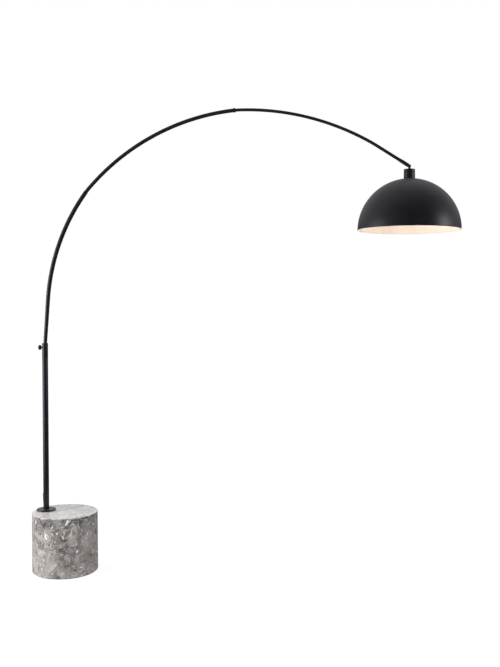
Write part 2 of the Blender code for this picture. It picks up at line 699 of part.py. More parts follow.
def build_arm():
    lower = arm_tube("lower_arc_tube", 0.0, JOINT_1_S, LOWER_TUBE_RADIUS, LOWER_TUBE_WALL, stem_scale)
    middle = arm_tube(
        "middle_arc_tube", PLUG_FEET_S[0], JOINT_2_S, MIDDLE_TUBE_RADIUS, MIDDLE_TUBE_WALL
    )
    socket_foot_s = ARM_END_S - FERRULE_LENGTH + FERRULE_SOCKET
    upper = arm_tube(
        "upper_arc_tube", PLUG_FEET_S[1], socket_foot_s - GAP, UPPER_TUBE_RADIUS, UPPER_TUBE_WALL
    )

    glide_radius = POLE_BORE - GAP
    glide_spigot = STEM_BORE * math.cos(math.radians(15)) - GAP
    glide_top = STEM_FOOT - GAP
    glide = [
        (GLIDE_BORE_RADIUS, STEM_FOOT + GLIDE_SPIGOT),
        (glide_spigot, STEM_FOOT + GLIDE_SPIGOT),
        (glide_spigot, glide_top),
        (glide_radius, glide_top),
        (glide_radius, glide_top - GLIDE_HEIGHT),
        (GLIDE_BORE_RADIUS, glide_top - GLIDE_HEIGHT),
    ]
    stem_glide = turned("stem_glide", glide, "nylon", (POLE_X, 0, 0), steps=20)

    mouth, heading = arm_at(JOINT_2_S)
    over = MIDDLE_TUBE_RADIUS + GAP
    through = UPPER_TUBE_RADIUS + GAP
    front = GAP + JOINT_RING_LIP
    ring = [
        (through, front),
        *rounded(JOINT_RING_RADIUS, front, JOINT_RING_EDGE, 1, 2),
        *rounded(JOINT_RING_RADIUS, front - JOINT_RING_LENGTH, JOINT_RING_BACK_EDGE, -1, 1),
        (over, front - JOINT_RING_LENGTH),
        (over, GAP),
        (through, GAP),
    ]
    joint_ring = turned("joint_ring", ring, "black_paint", mouth, along_rotation(heading), steps=20)

    screws = [
        grub_screw("joint_screw_1", lower, middle, JOINT_1_S - GRUB_FROM_MOUTH, LOWER_TUBE_RADIUS),
        grub_screw("joint_screw_2", middle, upper, JOINT_2_S - GRUB_FROM_MOUTH, MIDDLE_TUBE_RADIUS),
    ]
    lead_end = ARM_END_S - FERRULE_LENGTH + FERRULE_SOCKET
    lead = arm_rod("arm_lead", 0.0, lead_end, LEAD_RADIUS, "cord_sleeve")
    return [lower, middle, upper, stem_glide, joint_ring, *screws, lead]


def pivot_point():
    tip, heading = arm_at(ARM_END_S)
    return tip - PIVOT_SETBACK * Vector((math.cos(heading), 0, math.sin(heading)))


def build_ferrule(upper_tube):
    """The slotted sleeve at the arm's tip that forks round the shade's tongue, with its screw and nut."""
    tip, heading = arm_at(ARM_END_S)
    turn = along_rotation(heading)
    bore = UPPER_TUBE_RADIUS + GAP
    web_low = FERRULE_SOCKET - FERRULE_LENGTH
    profile = [
        (GLIDE_BORE_RADIUS, 0),
        *rounded(FERRULE_RADIUS, 0, FERRULE_EDGE, 1, 2),
        (FERRULE_RADIUS, -FERRULE_LENGTH),
        (bore, -FERRULE_LENGTH),
        (bore, web_low),
        (GLIDE_BORE_RADIUS, web_low),
    ]
    ferrule = turned("end_ferrule", profile, "black_paint", tip, turn, steps=20)
    half_slot = TONGUE_THICKNESS / 2 + GAP
    slot_back = -PIVOT_SETBACK - EYE_RADIUS - SLOT_BEHIND_EYE
    wide = 2 * FERRULE_RADIUS
    slot = box_mesh("ferrule_slot", (-wide, -half_slot, slot_back), (wide, half_slot, CUT_PAST))
    boolean(ferrule, place_cutter("ferrule_slot", slot, tip, turn))

    pivot = pivot_point()
    across = (math.radians(90), 0, 0)  # local +Z onto -Y
    pin_hole = cylinder_mesh("pin_hole", PIN_BORE, -wide, wide, segments=16)
    boolean(ferrule, place_cutter("pin_hole", pin_hole, pivot, across))
    seat = FERRULE_RADIUS + GAP
    nut_far = seat + PIN_NUT_HEIGHT
    pin = [
        (0, seat + PIN_HEAD_HEIGHT),
        *rounded(PIN_HEAD_RADIUS, seat + PIN_HEAD_HEIGHT, PIN_EDGE, 1, 2),
        (PIN_HEAD_RADIUS, seat),
        (PIN_RADIUS, seat),
        (PIN_RADIUS, -nut_far - PIN_PAST_NUT),
        (0, -nut_far - PIN_PAST_NUT),
    ]
    screw = turned("tilt_screw", pin, "black_paint", pivot, across, steps=16, closed=False)
    nut_at = pivot + Vector((0, seat, 0))
    outward = (math.radians(-90), 0, 0)
    nut = hex_nut(
        "tilt_nut", PIN_NUT_ACROSS_FLATS, PIN_NUT_HEIGHT, PIN_BORE, "black_paint", nut_at, outward
    )
    grub_at = ARM_END_S - FERRULE_LENGTH + FERRULE_SOCKET / 2
    grub = grub_screw("ferrule_screw", ferrule, upper_tube, grub_at, FERRULE_RADIUS)
    return [ferrule, screw, nut, grub]


# ---------------------------------------------------------------- shade and lampholder
def build_holder(pivot):
    """Everything that tilts with the shade down to the lampholder, on the shade's own axis."""
    axis = (pivot.x, 0, 0)
    cup_top = pivot.z - NECK_DROP
    disc_foot = cup_top + GAP
    disc_top = disc_foot + STEM_DISC_THICKNESS
    cup_roof = cup_top - CUP_TOP_THICKNESS
    nut_foot = cup_roof - GAP - CUP_NUT_HEIGHT
    neck_top = nut_foot - GAP
    nipple_foot = neck_top - NIPPLE_GRIP + GAP

    spindle = [
        (NIPPLE_BORE_RADIUS, disc_top),
        (STEM_DISC_RADIUS, disc_top),
        (STEM_DISC_RADIUS, disc_foot),
        (NIPPLE_RADIUS, disc_foot),
        (NIPPLE_RADIUS, nipple_foot),
        (NIPPLE_BORE_RADIUS, nipple_foot),
    ]
    stem = turned("swivel_stem", spindle, "black_paint", axis, steps=20)
    half = TONGUE_WIDTH / 2
    thick = TONGUE_THICKNESS / 2
    tongue = box_mesh("tongue", (-half, -thick, disc_foot + STEM_DISC_THICKNESS / 2), (half, thick, pivot.z))
    boolean(stem, place_cutter("tongue", tongue, axis), "UNION")
    across = (math.radians(90), 0, 0)
    eye = cylinder_mesh("tongue_eye", EYE_RADIUS, -thick, thick, segments=20)
    boolean(stem, place_cutter("tongue_eye", eye, pivot, across), "UNION")
    eye_hole = cylinder_mesh("tongue_hole", PIN_BORE, -TONGUE_THICKNESS, TONGUE_THICKNESS, segments=16)
    boolean(stem, place_cutter("tongue_hole", eye_hole, pivot, across))

    cup_foot = cup_top - CUP_HEIGHT
    cup = [
        (NIPPLE_BORE, cup_top),
        *rounded(CUP_RADIUS_TOP, cup_top, CUP_EDGE, 1),
        (CUP_RADIUS_FOOT, cup_foot),
        (CUP_RADIUS_FOOT - CUP_WALL, cup_foot),
        (CUP_RADIUS_TOP - CUP_WALL, cup_roof),
        (NIPPLE_BORE, cup_roof),
    ]
    holder_cup = turned("holder_cup", cup, "black_paint", axis, steps=32)
    cup_nut = hex_nut(
        "cup_nut", CUP_NUT_ACROSS_FLATS, CUP_NUT_HEIGHT, NIPPLE_BORE, "zinc", (pivot.x, 0, nut_foot)
    )

    shoulder = neck_top - HOLDER_NECK_HEIGHT
    side_top = shoulder - HOLDER_SHOULDER
    floor = side_top - HOLDER_FLOOR
    skirt_foot = cup_foot - HOLDER_BELOW_CUP
    shell_bore = SHELL_RADIUS + GAP
    holder = [
        (NIPPLE_BORE, neck_top),
        (HOLDER_NECK_RADIUS, neck_top),
        (HOLDER_NECK_RADIUS, shoulder),
        (HOLDER_RADIUS - HOLDER_CORNER_IN, side_top + HOLDER_CORNER_UP),
        (HOLDER_RADIUS, side_top - HOLDER_CORNER_DOWN),
        (HOLDER_RADIUS, skirt_foot),
        (shell_bore, skirt_foot),
        (shell_bore, floor),
        (NIPPLE_BORE_RADIUS, floor),
        (NIPPLE_BORE_RADIUS, neck_top - NIPPLE_GRIP),
        (NIPPLE_BORE, neck_top - NIPPLE_GRIP),
    ]
    lampholder = turned("lampholder", holder, "ceramic", axis, steps=24)

    shell_top = floor - SHELL_BELOW_FLOOR
    shell_foot = skirt_foot + SHELL_SETBACK
    inner = SHELL_RADIUS - SHELL_WALL
    shell = [(inner, shell_top), (SHELL_RADIUS, shell_top), (SHELL_RADIUS, shell_foot), (inner, shell_foot)]
    thread_shell = turned("thread_shell", shell, "brass", axis, steps=24)

    contact_top = floor - GAP
    contact_foot = contact_top - CONTACT_THICKNESS
    disc = cylinder_mesh("centre_contact", CONTACT_RADIUS, contact_foot, contact_top, segments=20)
    contact = place("centre_contact", disc, "brass", axis)

    lead_radius = NIPPLE_BORE_RADIUS - HOLDER_LEAD_SLACK
    lead = cylinder_mesh("holder_lead", lead_radius, floor + GAP, disc_foot, segments=12)
    holder_lead = place("holder_lead", lead, "cord_sleeve", axis)
    pieces = [stem, holder_cup, cup_nut, lampholder, thread_shell, contact, holder_lead]
    return pieces, cup_foot, contact_foot


def dome_arc(radius, low_angle, high_angle, count):
    """(radius, height) points of a round dome from low_angle to high_angle, in degrees from its axis."""
    angles = [math.radians(low_angle + (high_angle - low_angle) * step / count) for step in range(count + 1)]
    return [(radius * math.sin(angle), radius * math.cos(angle)) for angle in angles]


def dome_wall(radius, hole):
    """One side of the dome's section: straight from the hole to the ring's edge, then round to the rim."""
    ring_angle = math.degrees(math.asin(RING_RADIUS / radius))
    return [(hole, math.sqrt(radius**2 - hole**2)), *dome_arc(radius, ring_angle, 90, 9)]


def build_shade(pivot, cup_foot):
    """The dome, hung so that it meets the cup's foot, and the ring that clamps it from below."""
    inner_radius = SHADE_RADIUS - SHADE_WALL
    seat_height = math.sqrt(SHADE_RADIUS**2 - (CUP_RADIUS_FOOT - CUP_WALL) ** 2)
    rim_z = cup_foot - GAP - seat_height
    wall = [*dome_wall(SHADE_RADIUS, RING_BORE_RADIUS), *reversed(dome_wall(inner_radius, RING_BORE_RADIUS))]
    shade = turned("shade_dome", wall, "black_paint", (pivot.x, 0, rim_z), steps=40)

    ring_top = rim_z + math.sqrt(inner_radius**2 - RING_RADIUS**2) - GAP
    ring = [
        (RING_BORE_RADIUS, ring_top),
        (RING_RADIUS, ring_top),
        (RING_RADIUS, ring_top - RING_FLANGE),
        (RING_NUT_RADIUS, ring_top - RING_FLANGE),
        (RING_NUT_RADIUS, ring_top - RING_HEIGHT),
        (RING_BORE_RADIUS, ring_top - RING_HEIGHT),
    ]
    shade_ring = turned("shade_ring", ring, "black_paint", (pivot.x, 0, 0), steps=24)
    return [shade, shade_ring]


def build_bulb(pivot, contact_foot):
    """A screw-cap lamp with an opal glass: the glass is a thin shell, open at its neck inside the cap."""
    axis = (pivot.x, 0, 0)
    tip_top = contact_foot - GAP
    cap_top = tip_top - TIP_PROUD
    cap_foot = cap_top - CAP_HEIGHT
    tip_hole = TIP_RADIUS + GAP
    cap = [
        (tip_hole, cap_top),
        (CAP_TOP_RADIUS, cap_top),
        (CAP_RADIUS, cap_top - CAP_SHOULDER),
        (CAP_RADIUS, cap_foot),
        (CAP_RADIUS - CAP_WALL, cap_foot),
        (CAP_RADIUS - CAP_WALL, cap_top - CAP_SHOULDER - CAP_WALL),
        (CAP_TOP_RADIUS - CAP_WALL, cap_top - CAP_WALL),
        (tip_hole, cap_top - CAP_WALL),
    ]
    bulb_cap = turned("bulb_cap", cap, "brass", axis, steps=20)
    tip = cylinder_mesh("bulb_tip", TIP_RADIUS, cap_top - CAP_WALL - TIP_BELOW_CAP, tip_top, segments=20)
    bulb_tip = place("bulb_tip", tip, "zinc", axis)

    neck = CAP_RADIUS - CAP_WALL - GAP
    neck_top = cap_foot + NECK_IN_CAP
    centre = tip_top - BULB_LENGTH + BULB_RADIUS
    neck_foot = cap_foot - NECK_BELOW_CAP
    body = dome_arc(BULB_RADIUS, BULB_SHOULDER, 180, 8)[:-1]
    throat_drop = neck_foot - centre - body[0][1]
    outer = [(neck, neck_top), (neck, neck_foot)]
    for share in THROAT_SHARES:
        outer.append((neck + (body[0][0] - neck) * share**THROAT_POWER, neck_foot - throat_drop * share))
    outer += [(radius, centre + height) for radius, height in body] + [(0, centre - BULB_RADIUS)]
    inner_body = dome_arc(BULB_RADIUS - BULB_GLASS_WALL, BULB_SHOULDER, 180, 8)[:-1]
    inner = [(0, centre - BULB_RADIUS + BULB_GLASS_WALL)]
    inner += [(radius, centre + height) for radius, height in reversed(inner_body)]
    neck_points = outer[: 2 + len(THROAT_SHARES)]
    inner += [(radius - BULB_GLASS_WALL, height) for radius, height in reversed(neck_points)]
    bulb_glass = turned("bulb_glass", outer + inner, "opal_glass", axis, steps=20, closed=True)
    return [bulb_cap, bulb_tip, bulb_glass]


# ---------------------------------------------------------------- assembly
def build_lamp():
    build_base()
    build_anchor()
    build_pole()
    build_outlet()
    build_pole_lead()
    bush = build_collar()
    build_clamp()
    arm = build_arm()
    arm += build_ferrule(arm[2])
    carried_by(joint_axis("arm_axis", (POLE_X, 0, COLLAR_TOP)), bush, *arm)

    pivot = pivot_point()
    holder, cup_foot, contact_foot = build_holder(pivot)
    shade = build_shade(pivot, cup_foot)
    bulb = build_bulb(pivot, contact_foot)
    carried_by(joint_axis("tilt_axis", pivot), *holder, *shade, *bulb)


build_lamp()
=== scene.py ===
"""Arc floor lamp, finished for display.

A polished stone drum carries a black pole. A three-piece arc arm rises from the pole's collar and hangs a lit
dome. Every piece is built here in metres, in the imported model's own frame, and rides on one of its bodies.
"""

import logging
import math
from dataclasses import dataclass, field
from enum import Enum
from typing import Any, Callable, Iterable, Mapping, Sequence

import bmesh
import bpy
from mathutils import Matrix, Vector


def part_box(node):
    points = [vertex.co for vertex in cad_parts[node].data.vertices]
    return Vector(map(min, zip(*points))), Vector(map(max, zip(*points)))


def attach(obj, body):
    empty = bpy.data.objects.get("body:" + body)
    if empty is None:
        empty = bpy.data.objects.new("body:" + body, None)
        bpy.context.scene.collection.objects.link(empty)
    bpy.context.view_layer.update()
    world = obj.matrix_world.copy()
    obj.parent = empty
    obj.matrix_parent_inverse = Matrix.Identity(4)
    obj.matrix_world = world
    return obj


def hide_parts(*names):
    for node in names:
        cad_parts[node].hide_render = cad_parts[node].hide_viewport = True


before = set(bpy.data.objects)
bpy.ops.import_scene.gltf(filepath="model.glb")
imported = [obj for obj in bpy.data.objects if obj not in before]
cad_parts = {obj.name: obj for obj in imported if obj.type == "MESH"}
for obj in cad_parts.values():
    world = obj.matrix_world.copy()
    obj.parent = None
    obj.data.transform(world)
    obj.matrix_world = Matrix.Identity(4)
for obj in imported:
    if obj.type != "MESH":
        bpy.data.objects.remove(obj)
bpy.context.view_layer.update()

LOG = logging.getLogger("arc_floor_lamp")

Colour = tuple[float, float, float]
Profile = list[tuple[float, float]]
NodeInput = Any

NODES: Mapping[str, bpy.types.Object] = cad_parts
CAMERA_AZIMUTH = 15.0  # degrees that the camera stands round from facing +Y
GAP = 0.0003  # between pieces that touch
CUT_PAST = 0.01  # how far a cutter reaches past what it cuts
HARD_EDGE = 0.0003  # the least rounding that a turned edge has
SLEEVE_LENGTH = 0.047  # the slotted sleeve at the arm's tip
SLEEVE_SOCKET = 0.028  # how deep the upper tube may go into it


class Body(Enum):
    """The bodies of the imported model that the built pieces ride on."""

    ROOT = "root"
    ARM = "arm"
    KNOB = "clamp_knob"
    SHADE = "shade"


class Slot(Enum):
    """The record's material slots, named for the built pieces."""

    BLACK_PAINT = "black_paint"
    BLACK_ALUMINIUM = "black_alu"
    MARBLE = "marble"
    FELT = "felt"
    ZINC = "zinc"
    NYLON = "nylon"
    BRASS = "brass"
    OPAL_GLASS = "opal_glass"
    CERAMIC = "ceramic"


# ------------------------------------------------------------------ shader building
class Canvas:
    """Adds nodes to one node tree and links them by socket name."""

    def __init__(self, tree: bpy.types.NodeTree) -> None:
        """Starts on a tree.

        Args:
            tree: The node tree to add to.
        """
        self.tree = tree
        self._column = 0

    def add(
        self, kind: str, settings: Mapping[str, Any] | None = None, **inputs: NodeInput
    ) -> bpy.types.Node:
        """Adds one node and fills its inputs.

        Args:
            kind: The node's type name.
            settings: Attributes to set on the node before its inputs.
            **inputs: A value or an output socket for each named input, with _ for a space.

        Returns:
            The new node.
        """
        node = self.tree.nodes.new(kind)
        self._column += 1
        node.location = (180 * (self._column % 12), -220 * (self._column // 12))
        for name, value in (settings or {}).items():
            setattr(node, name, value)
        for name, value in inputs.items():
            self.feed(node.inputs[name.replace("_", " ")], value)
        return node

    def feed(self, socket: bpy.types.NodeSocket, value: NodeInput) -> None:
        """Links an output to a socket, or sets the socket's own value.

        Args:
            socket: The input to feed.
            value: An output socket, a number, or a colour or vector.
        """
        if isinstance(value, bpy.types.NodeSocket):
            self.tree.links.new(value, socket)
        elif isinstance(value, (tuple, list)) and socket.type == "RGBA" and len(value) == 3:
            socket.default_value = (*value, 1.0)
        else:
            socket.default_value = value

    def compute(self, operation: str, first: NodeInput, second: NodeInput = 0.0) -> bpy.types.NodeSocket:
        """One arithmetic step.

        Args:
            operation: The Math node's operation.
            first: Its first value.
            second: Its second value.

        Returns:
            The result.
        """
        node = self.add("ShaderNodeMath", {"operation": operation})
        self.feed(node.inputs[0], first)
        self.feed(node.inputs[1], second)
        return node.outputs[0]

    def vector(self, operation: str, first: NodeInput, second: NodeInput) -> bpy.types.NodeSocket:
        """One vector step.

        Args:
            operation: The Vector Math node's operation.
            first: Its first vector.
            second: Its second vector, or the scale where the operation is SCALE.

        Returns:
            The vector, or the value where the operation gives one.
        """
        node = self.add("ShaderNodeVectorMath", {"operation": operation})
        self.feed(node.inputs[0], first)
        self.feed(node.inputs[3 if operation == "SCALE" else 1], second)
        return node.outputs["Value" if operation in ("DOT_PRODUCT", "DISTANCE", "LENGTH") else "Vector"]

    def mix(
        self, factor: NodeInput, first: NodeInput, second: NodeInput, blend: str = "MIX"
    ) -> bpy.types.NodeSocket:
        """Mixes two colours.

        Args:
            factor: The share of the second colour.
            first: The first colour.
            second: The second colour.
            blend: The blend mode.

        Returns:
            The mixed colour.
        """
        node = self.add("ShaderNodeMix", {"data_type": "RGBA", "blend_type": blend})
        self.feed(node.inputs[0], factor)
        self.feed(node.inputs[6], first)
        self.feed(node.inputs[7], second)
        return node.outputs[2]

    def blend_value(self, factor: NodeInput, first: NodeInput, second: NodeInput) -> bpy.types.NodeSocket:
        """Mixes two values.

        Args:
            factor: The share of the second value.
            first: The first value.
            second: The second value.

        Returns:
            The mixed value.
        """
        node = self.add("ShaderNodeMix", {"data_type": "FLOAT"})
        for socket, value in zip(node.inputs[0:1] + node.inputs[2:4], (factor, first, second)):
            self.feed(socket, value)
        return node.outputs[0]

    def spread(
        self, value: NodeInput, low: float, high: float, to_low: float = 0.0, to_high: float = 1.0
    ) -> bpy.types.NodeSocket:
        """Maps a range of values smoothly onto another, held at both ends.

        Args:
            value: The value to map.
            low: The value that becomes to_low.
            high: The value that becomes to_high.
            to_low: The result at low.
            to_high: The result at high.

        Returns:
            The mapped value.
        """
        node = self.add(
            "ShaderNodeMapRange",
            {"interpolation_type": "SMOOTHSTEP"},
            Value=value,
            From_Min=low,
            From_Max=high,
            To_Min=to_low,
            To_Max=to_high,
        )
        return node.outputs["Result"]

    def ramp(self, value: NodeInput, stops: Sequence[tuple[float, Colour]]) -> bpy.types.NodeSocket:
        """Maps a value onto a run of colours.

        Args:
            value: The value to map.
            stops: Each stop's place and colour, in order.

        Returns:
            The colour.
        """
        node = self.add("ShaderNodeValToRGB", None, Fac=value)
        elements = node.color_ramp.elements
        while len(elements) < len(stops):
            elements.new(0.5)
        for element, (place, colour) in zip(elements, stops):
            element.position = place
            element.color = (*colour, 1.0)
        return node.outputs["Color"]

    def noise(
        self,
        where: NodeInput,
        scale: NodeInput,
        detail: float = 3.0,
        roughness: float = 0.5,
        output: str = "Fac",
    ) -> bpy.types.NodeSocket:
        """Cloudy noise.

        Args:
            where: The coordinates.
            scale: Its cells per metre.
            detail: Its octaves.
            roughness: How much of each finer octave it keeps.
            output: Fac for a value or Color for three.

        Returns:
            The noise.
        """
        node = self.add(
            "ShaderNodeTexNoise", None, Vector=where, Scale=scale, Detail=detail, Roughness=roughness
        )
        return node.outputs[output]

    def place(self) -> bpy.types.NodeSocket:
        """The point on the piece, in metres, moving with the piece."""
        return self.add("ShaderNodeTexCoord").outputs["Object"]


class Effect:
    """A shader effect that several finishes share: a node group, built once."""

    _built: dict[str, bpy.types.NodeTree] = {}

    name = "effect"
    inputs: tuple[tuple[str, str, float], ...] = ()
    outputs: tuple[tuple[str, str], ...] = ()

    def fill(self, canvas: Canvas, given: bpy.types.Node, result: bpy.types.Node) -> None:
        """Builds the inside of the group.

        Args:
            canvas: The group's canvas.
            given: The group's input node.
            result: The group's output node.
        """
        raise NotImplementedError

    def tree(self) -> bpy.types.NodeTree:
        """The group's node tree, made on its first use."""
        if self.name not in self._built:
            made = bpy.data.node_groups.new(self.name, "ShaderNodeTree")
            for title, kind, value in self.inputs:
                socket = made.interface.new_socket(title, in_out="INPUT", socket_type=kind)
                if kind == "NodeSocketFloat":
                    socket.default_value = value
            for title, kind in self.outputs:
                made.interface.new_socket(title, in_out="OUTPUT", socket_type=kind)
            canvas = Canvas(made)
            given = canvas.add("NodeGroupInput")
            result = canvas.add("NodeGroupOutput")
            self.fill(canvas, given, result)
            self._built[self.name] = made
        return self._built[self.name]

    def use(self, canvas: Canvas, **inputs: NodeInput) -> bpy.types.Node:
        """Places the group in a material.

        Args:
            canvas: The material's canvas.
            **inputs: A value or an output socket for each named input, with _ for a space.

        Returns:
            The group's node, whose outputs are its results.
        """
        return canvas.add("ShaderNodeGroup", {"node_tree": self.tree()}, **inputs)


class FineTexture(Effect):
    """The fine pebbled skin of sprayed paint, moulded plastic or glaze."""

    name = "fine_texture"
    inputs = (
        ("Place", "NodeSocketVector", 0.0),
        ("Cells", "NodeSocketFloat", 900.0),
        ("Waves", "NodeSocketFloat", 0.35),
    )
    outputs = (("Height", "NodeSocketFloat"), ("Mask", "NodeSocketFloat"))

    def fill(self, canvas: Canvas, given: bpy.types.Node, result: bpy.types.Node) -> None:
        """Fine cells on slow waves.

        Args:
            canvas: The group's canvas.
            given: The group's input node.
            result: The group's output node.
        """
        where, cells = given.outputs["Place"], given.outputs["Cells"]
        fine = canvas.noise(where, cells, 2.0, 0.45)
        slow = canvas.noise(where, canvas.compute("MULTIPLY", cells, 0.12), 2.0, 0.5)
        waves = canvas.compute("MULTIPLY", slow, given.outputs["Waves"])
        canvas.feed(result.inputs["Height"], canvas.compute("ADD", fine, waves))
        canvas.feed(result.inputs["Mask"], canvas.spread(fine, 0.35, 0.65))


class Handling(Effect):
    """Faint smudges and wiped patches, as a roughness for a surface that hands have touched."""

    name = "handling"
    inputs = (
        ("Place", "NodeSocketVector", 0.0),
        ("Roughness", "NodeSocketFloat", 0.4),
        ("Amount", "NodeSocketFloat", 0.1),
    )
    outputs = (("Roughness", "NodeSocketFloat"), ("Mask", "NodeSocketFloat"))

    def fill(self, canvas: Canvas, given: bpy.types.Node, result: bpy.types.Node) -> None:
        """Two sizes of cloud, added to the given roughness.

        Args:
            canvas: The group's canvas.
            given: The group's input node.
            result: The group's output node.
        """
        where = given.outputs["Place"]
        wide = canvas.noise(where, 14.0, 3.0, 0.55)
        small = canvas.noise(where, 85.0, 3.0, 0.6)
        broad = canvas.compute("MULTIPLY", wide, 0.65)
        narrow = canvas.compute("MULTIPLY", small, 0.35)
        mask = canvas.compute("ADD", broad, narrow)
        swing = canvas.compute("MULTIPLY", canvas.compute("SUBTRACT", mask, 0.5), given.outputs["Amount"])
        canvas.feed(result.inputs["Roughness"], canvas.compute("ADD", given.outputs["Roughness"], swing))
        canvas.feed(result.inputs["Mask"], canvas.spread(mask, 0.4, 0.62))


class DustAndTopSheen(Effect):
    """A thin film of house dust on what faces up; it also paints the pale sheen that upward faces catch."""

    name = "dust_and_sheen"
    inputs = (("Place", "NodeSocketVector", 0.0), ("Amount", "NodeSocketFloat", 0.2))
    outputs = (("Mask", "NodeSocketFloat"),)

    def fill(self, canvas: Canvas, given: bpy.types.Node, result: bpy.types.Node) -> None:
        """The upward part of the normal, broken up by fine specks.

        Args:
            canvas: The group's canvas.
            given: The group's input node.
            result: The group's output node.
        """
        # dust and a painted sheen: paler wherever the surface faces up
        normal = canvas.add("ShaderNodeNewGeometry").outputs["Normal"]
        upward = canvas.spread(canvas.vector("DOT_PRODUCT", normal, (0.0, 0.0, 1.0)), 0.55, 1.0)
        specks = canvas.spread(canvas.noise(given.outputs["Place"], 420.0, 4.0, 0.7), 0.35, 0.7)
        speckled = canvas.compute("ADD", canvas.compute("MULTIPLY", specks, 0.6), 0.4)
        dust_and_sheen_film = canvas.compute("MULTIPLY", upward, speckled)
        canvas.feed(result.inputs["Mask"], canvas.compute("MULTIPLY", dust_and_sheen_film, given.outputs["Amount"]))


class TurningLines(Effect):
    """The fine parallel lines that a lathe or a brush leaves on bare metal."""

    name = "turning_lines"
    inputs = (("Place", "NodeSocketVector", 0.0), ("Lines", "NodeSocketFloat", 1500.0))
    outputs = (("Height", "NodeSocketFloat"), ("Mask", "NodeSocketFloat"))

    def fill(self, canvas: Canvas, given: bpy.types.Node, result: bpy.types.Node) -> None:
        """Noise that is drawn out across and packed along the length.

        Args:
            canvas: The group's canvas.
            given: The group's input node.
            result: The group's output node.
        """
        drawn = canvas.vector("MULTIPLY", given.outputs["Place"], (0.06, 0.06, 1.0))
        lines = canvas.noise(drawn, given.outputs["Lines"], 3.0, 0.65)
        canvas.feed(result.inputs["Height"], lines)
        canvas.feed(result.inputs["Mask"], canvas.spread(lines, 0.38, 0.62))


FINE_TEXTURE = FineTexture()
HANDLING = Handling()
DUST_AND_TOP_SHEEN = DustAndTopSheen()
TURNING_LINES = TurningLines()


# ------------------------------------------------------------------ finishes
@dataclass(frozen=True)
class Finish:
    """A surface finish: it makes one material per piece that wears it."""

    name: str

    def paint(self, canvas: Canvas, surface: bpy.types.Node) -> None:
        """Feeds the surface shader.

        Args:
            canvas: The material's canvas.
            surface: Its Principled shader.
        """
        raise NotImplementedError

    def material(self) -> bpy.types.Material:
        """The finish's material, made on its first use."""
        found = bpy.data.materials.get(self.name)
        if found is not None:
            return found
        made = bpy.data.materials.new(self.name)
        made.use_nodes = True
        canvas = Canvas(made.node_tree)
        self.paint(canvas, made.node_tree.nodes["Principled BSDF"])
        return made


def bump(canvas: Canvas, height: NodeInput, depth: float, strength: float = 1.0) -> bpy.types.NodeSocket:
    """A normal from a height.

    Args:
        canvas: The material's canvas.
        height: The height, about 0 to 1.
        depth: How deep 1 is, in metres.
        strength: The share of it that shows.

    Returns:
        The normal.
    """
    node = canvas.add("ShaderNodeBump", None, Strength=strength, Distance=depth, Height=height)
    return node.outputs["Normal"]


@dataclass(frozen=True)
class SatinCoat(Finish):
    """Sprayed satin paint on metal."""

    colour: Colour = (0.0052, 0.0046, 0.0078)
    worn_colour: Colour = (0.0090, 0.0093, 0.0115)
    roughness: float = 0.40
    cells: float = 900.0
    depth: float = 0.00002
    dust_and_sheen: float = 0.25
    sheen: Colour = (0.90, 0.87, 1.0)
    dust_and_sheen_colour: Colour = (0.090, 0.088, 0.085)
    smudges: float = 0.10

    def paint(self, canvas: Canvas, surface: bpy.types.Node) -> None:
        """A near-black coat with a fine skin, faint smudges and a little dust, which also paints a pale sheen
        on its upward faces.

        Args:
            canvas: The material's canvas.
            surface: Its Principled shader.
        """
        where = canvas.place()
        skin = FINE_TEXTURE.use(canvas, Place=where, Cells=self.cells)
        hands = HANDLING.use(canvas, Place=where, Roughness=self.roughness, Amount=self.smudges)
        # dust that also paints a pale sheen on upward faces
        dust_and_sheen = DUST_AND_TOP_SHEEN.use(canvas, Place=where, Amount=self.dust_and_sheen)
        coat = canvas.mix(hands.outputs["Mask"], self.colour, self.worn_colour)
        dust_and_sheen_coat = canvas.mix(dust_and_sheen.outputs["Mask"], coat, self.dust_and_sheen_colour)
        canvas.feed(surface.inputs["Base Color"], dust_and_sheen_coat)
        dusty = canvas.compute("MULTIPLY", dust_and_sheen.outputs["Mask"], 0.3)
        canvas.feed(surface.inputs["Roughness"], canvas.compute("ADD", hands.outputs["Roughness"], dusty))
        canvas.feed(surface.inputs["Normal"], bump(canvas, skin.outputs["Height"], self.depth))
        surface.inputs["IOR"].default_value = 1.5
        surface.inputs["Specular Tint"].default_value = (*self.sheen, 1.0)


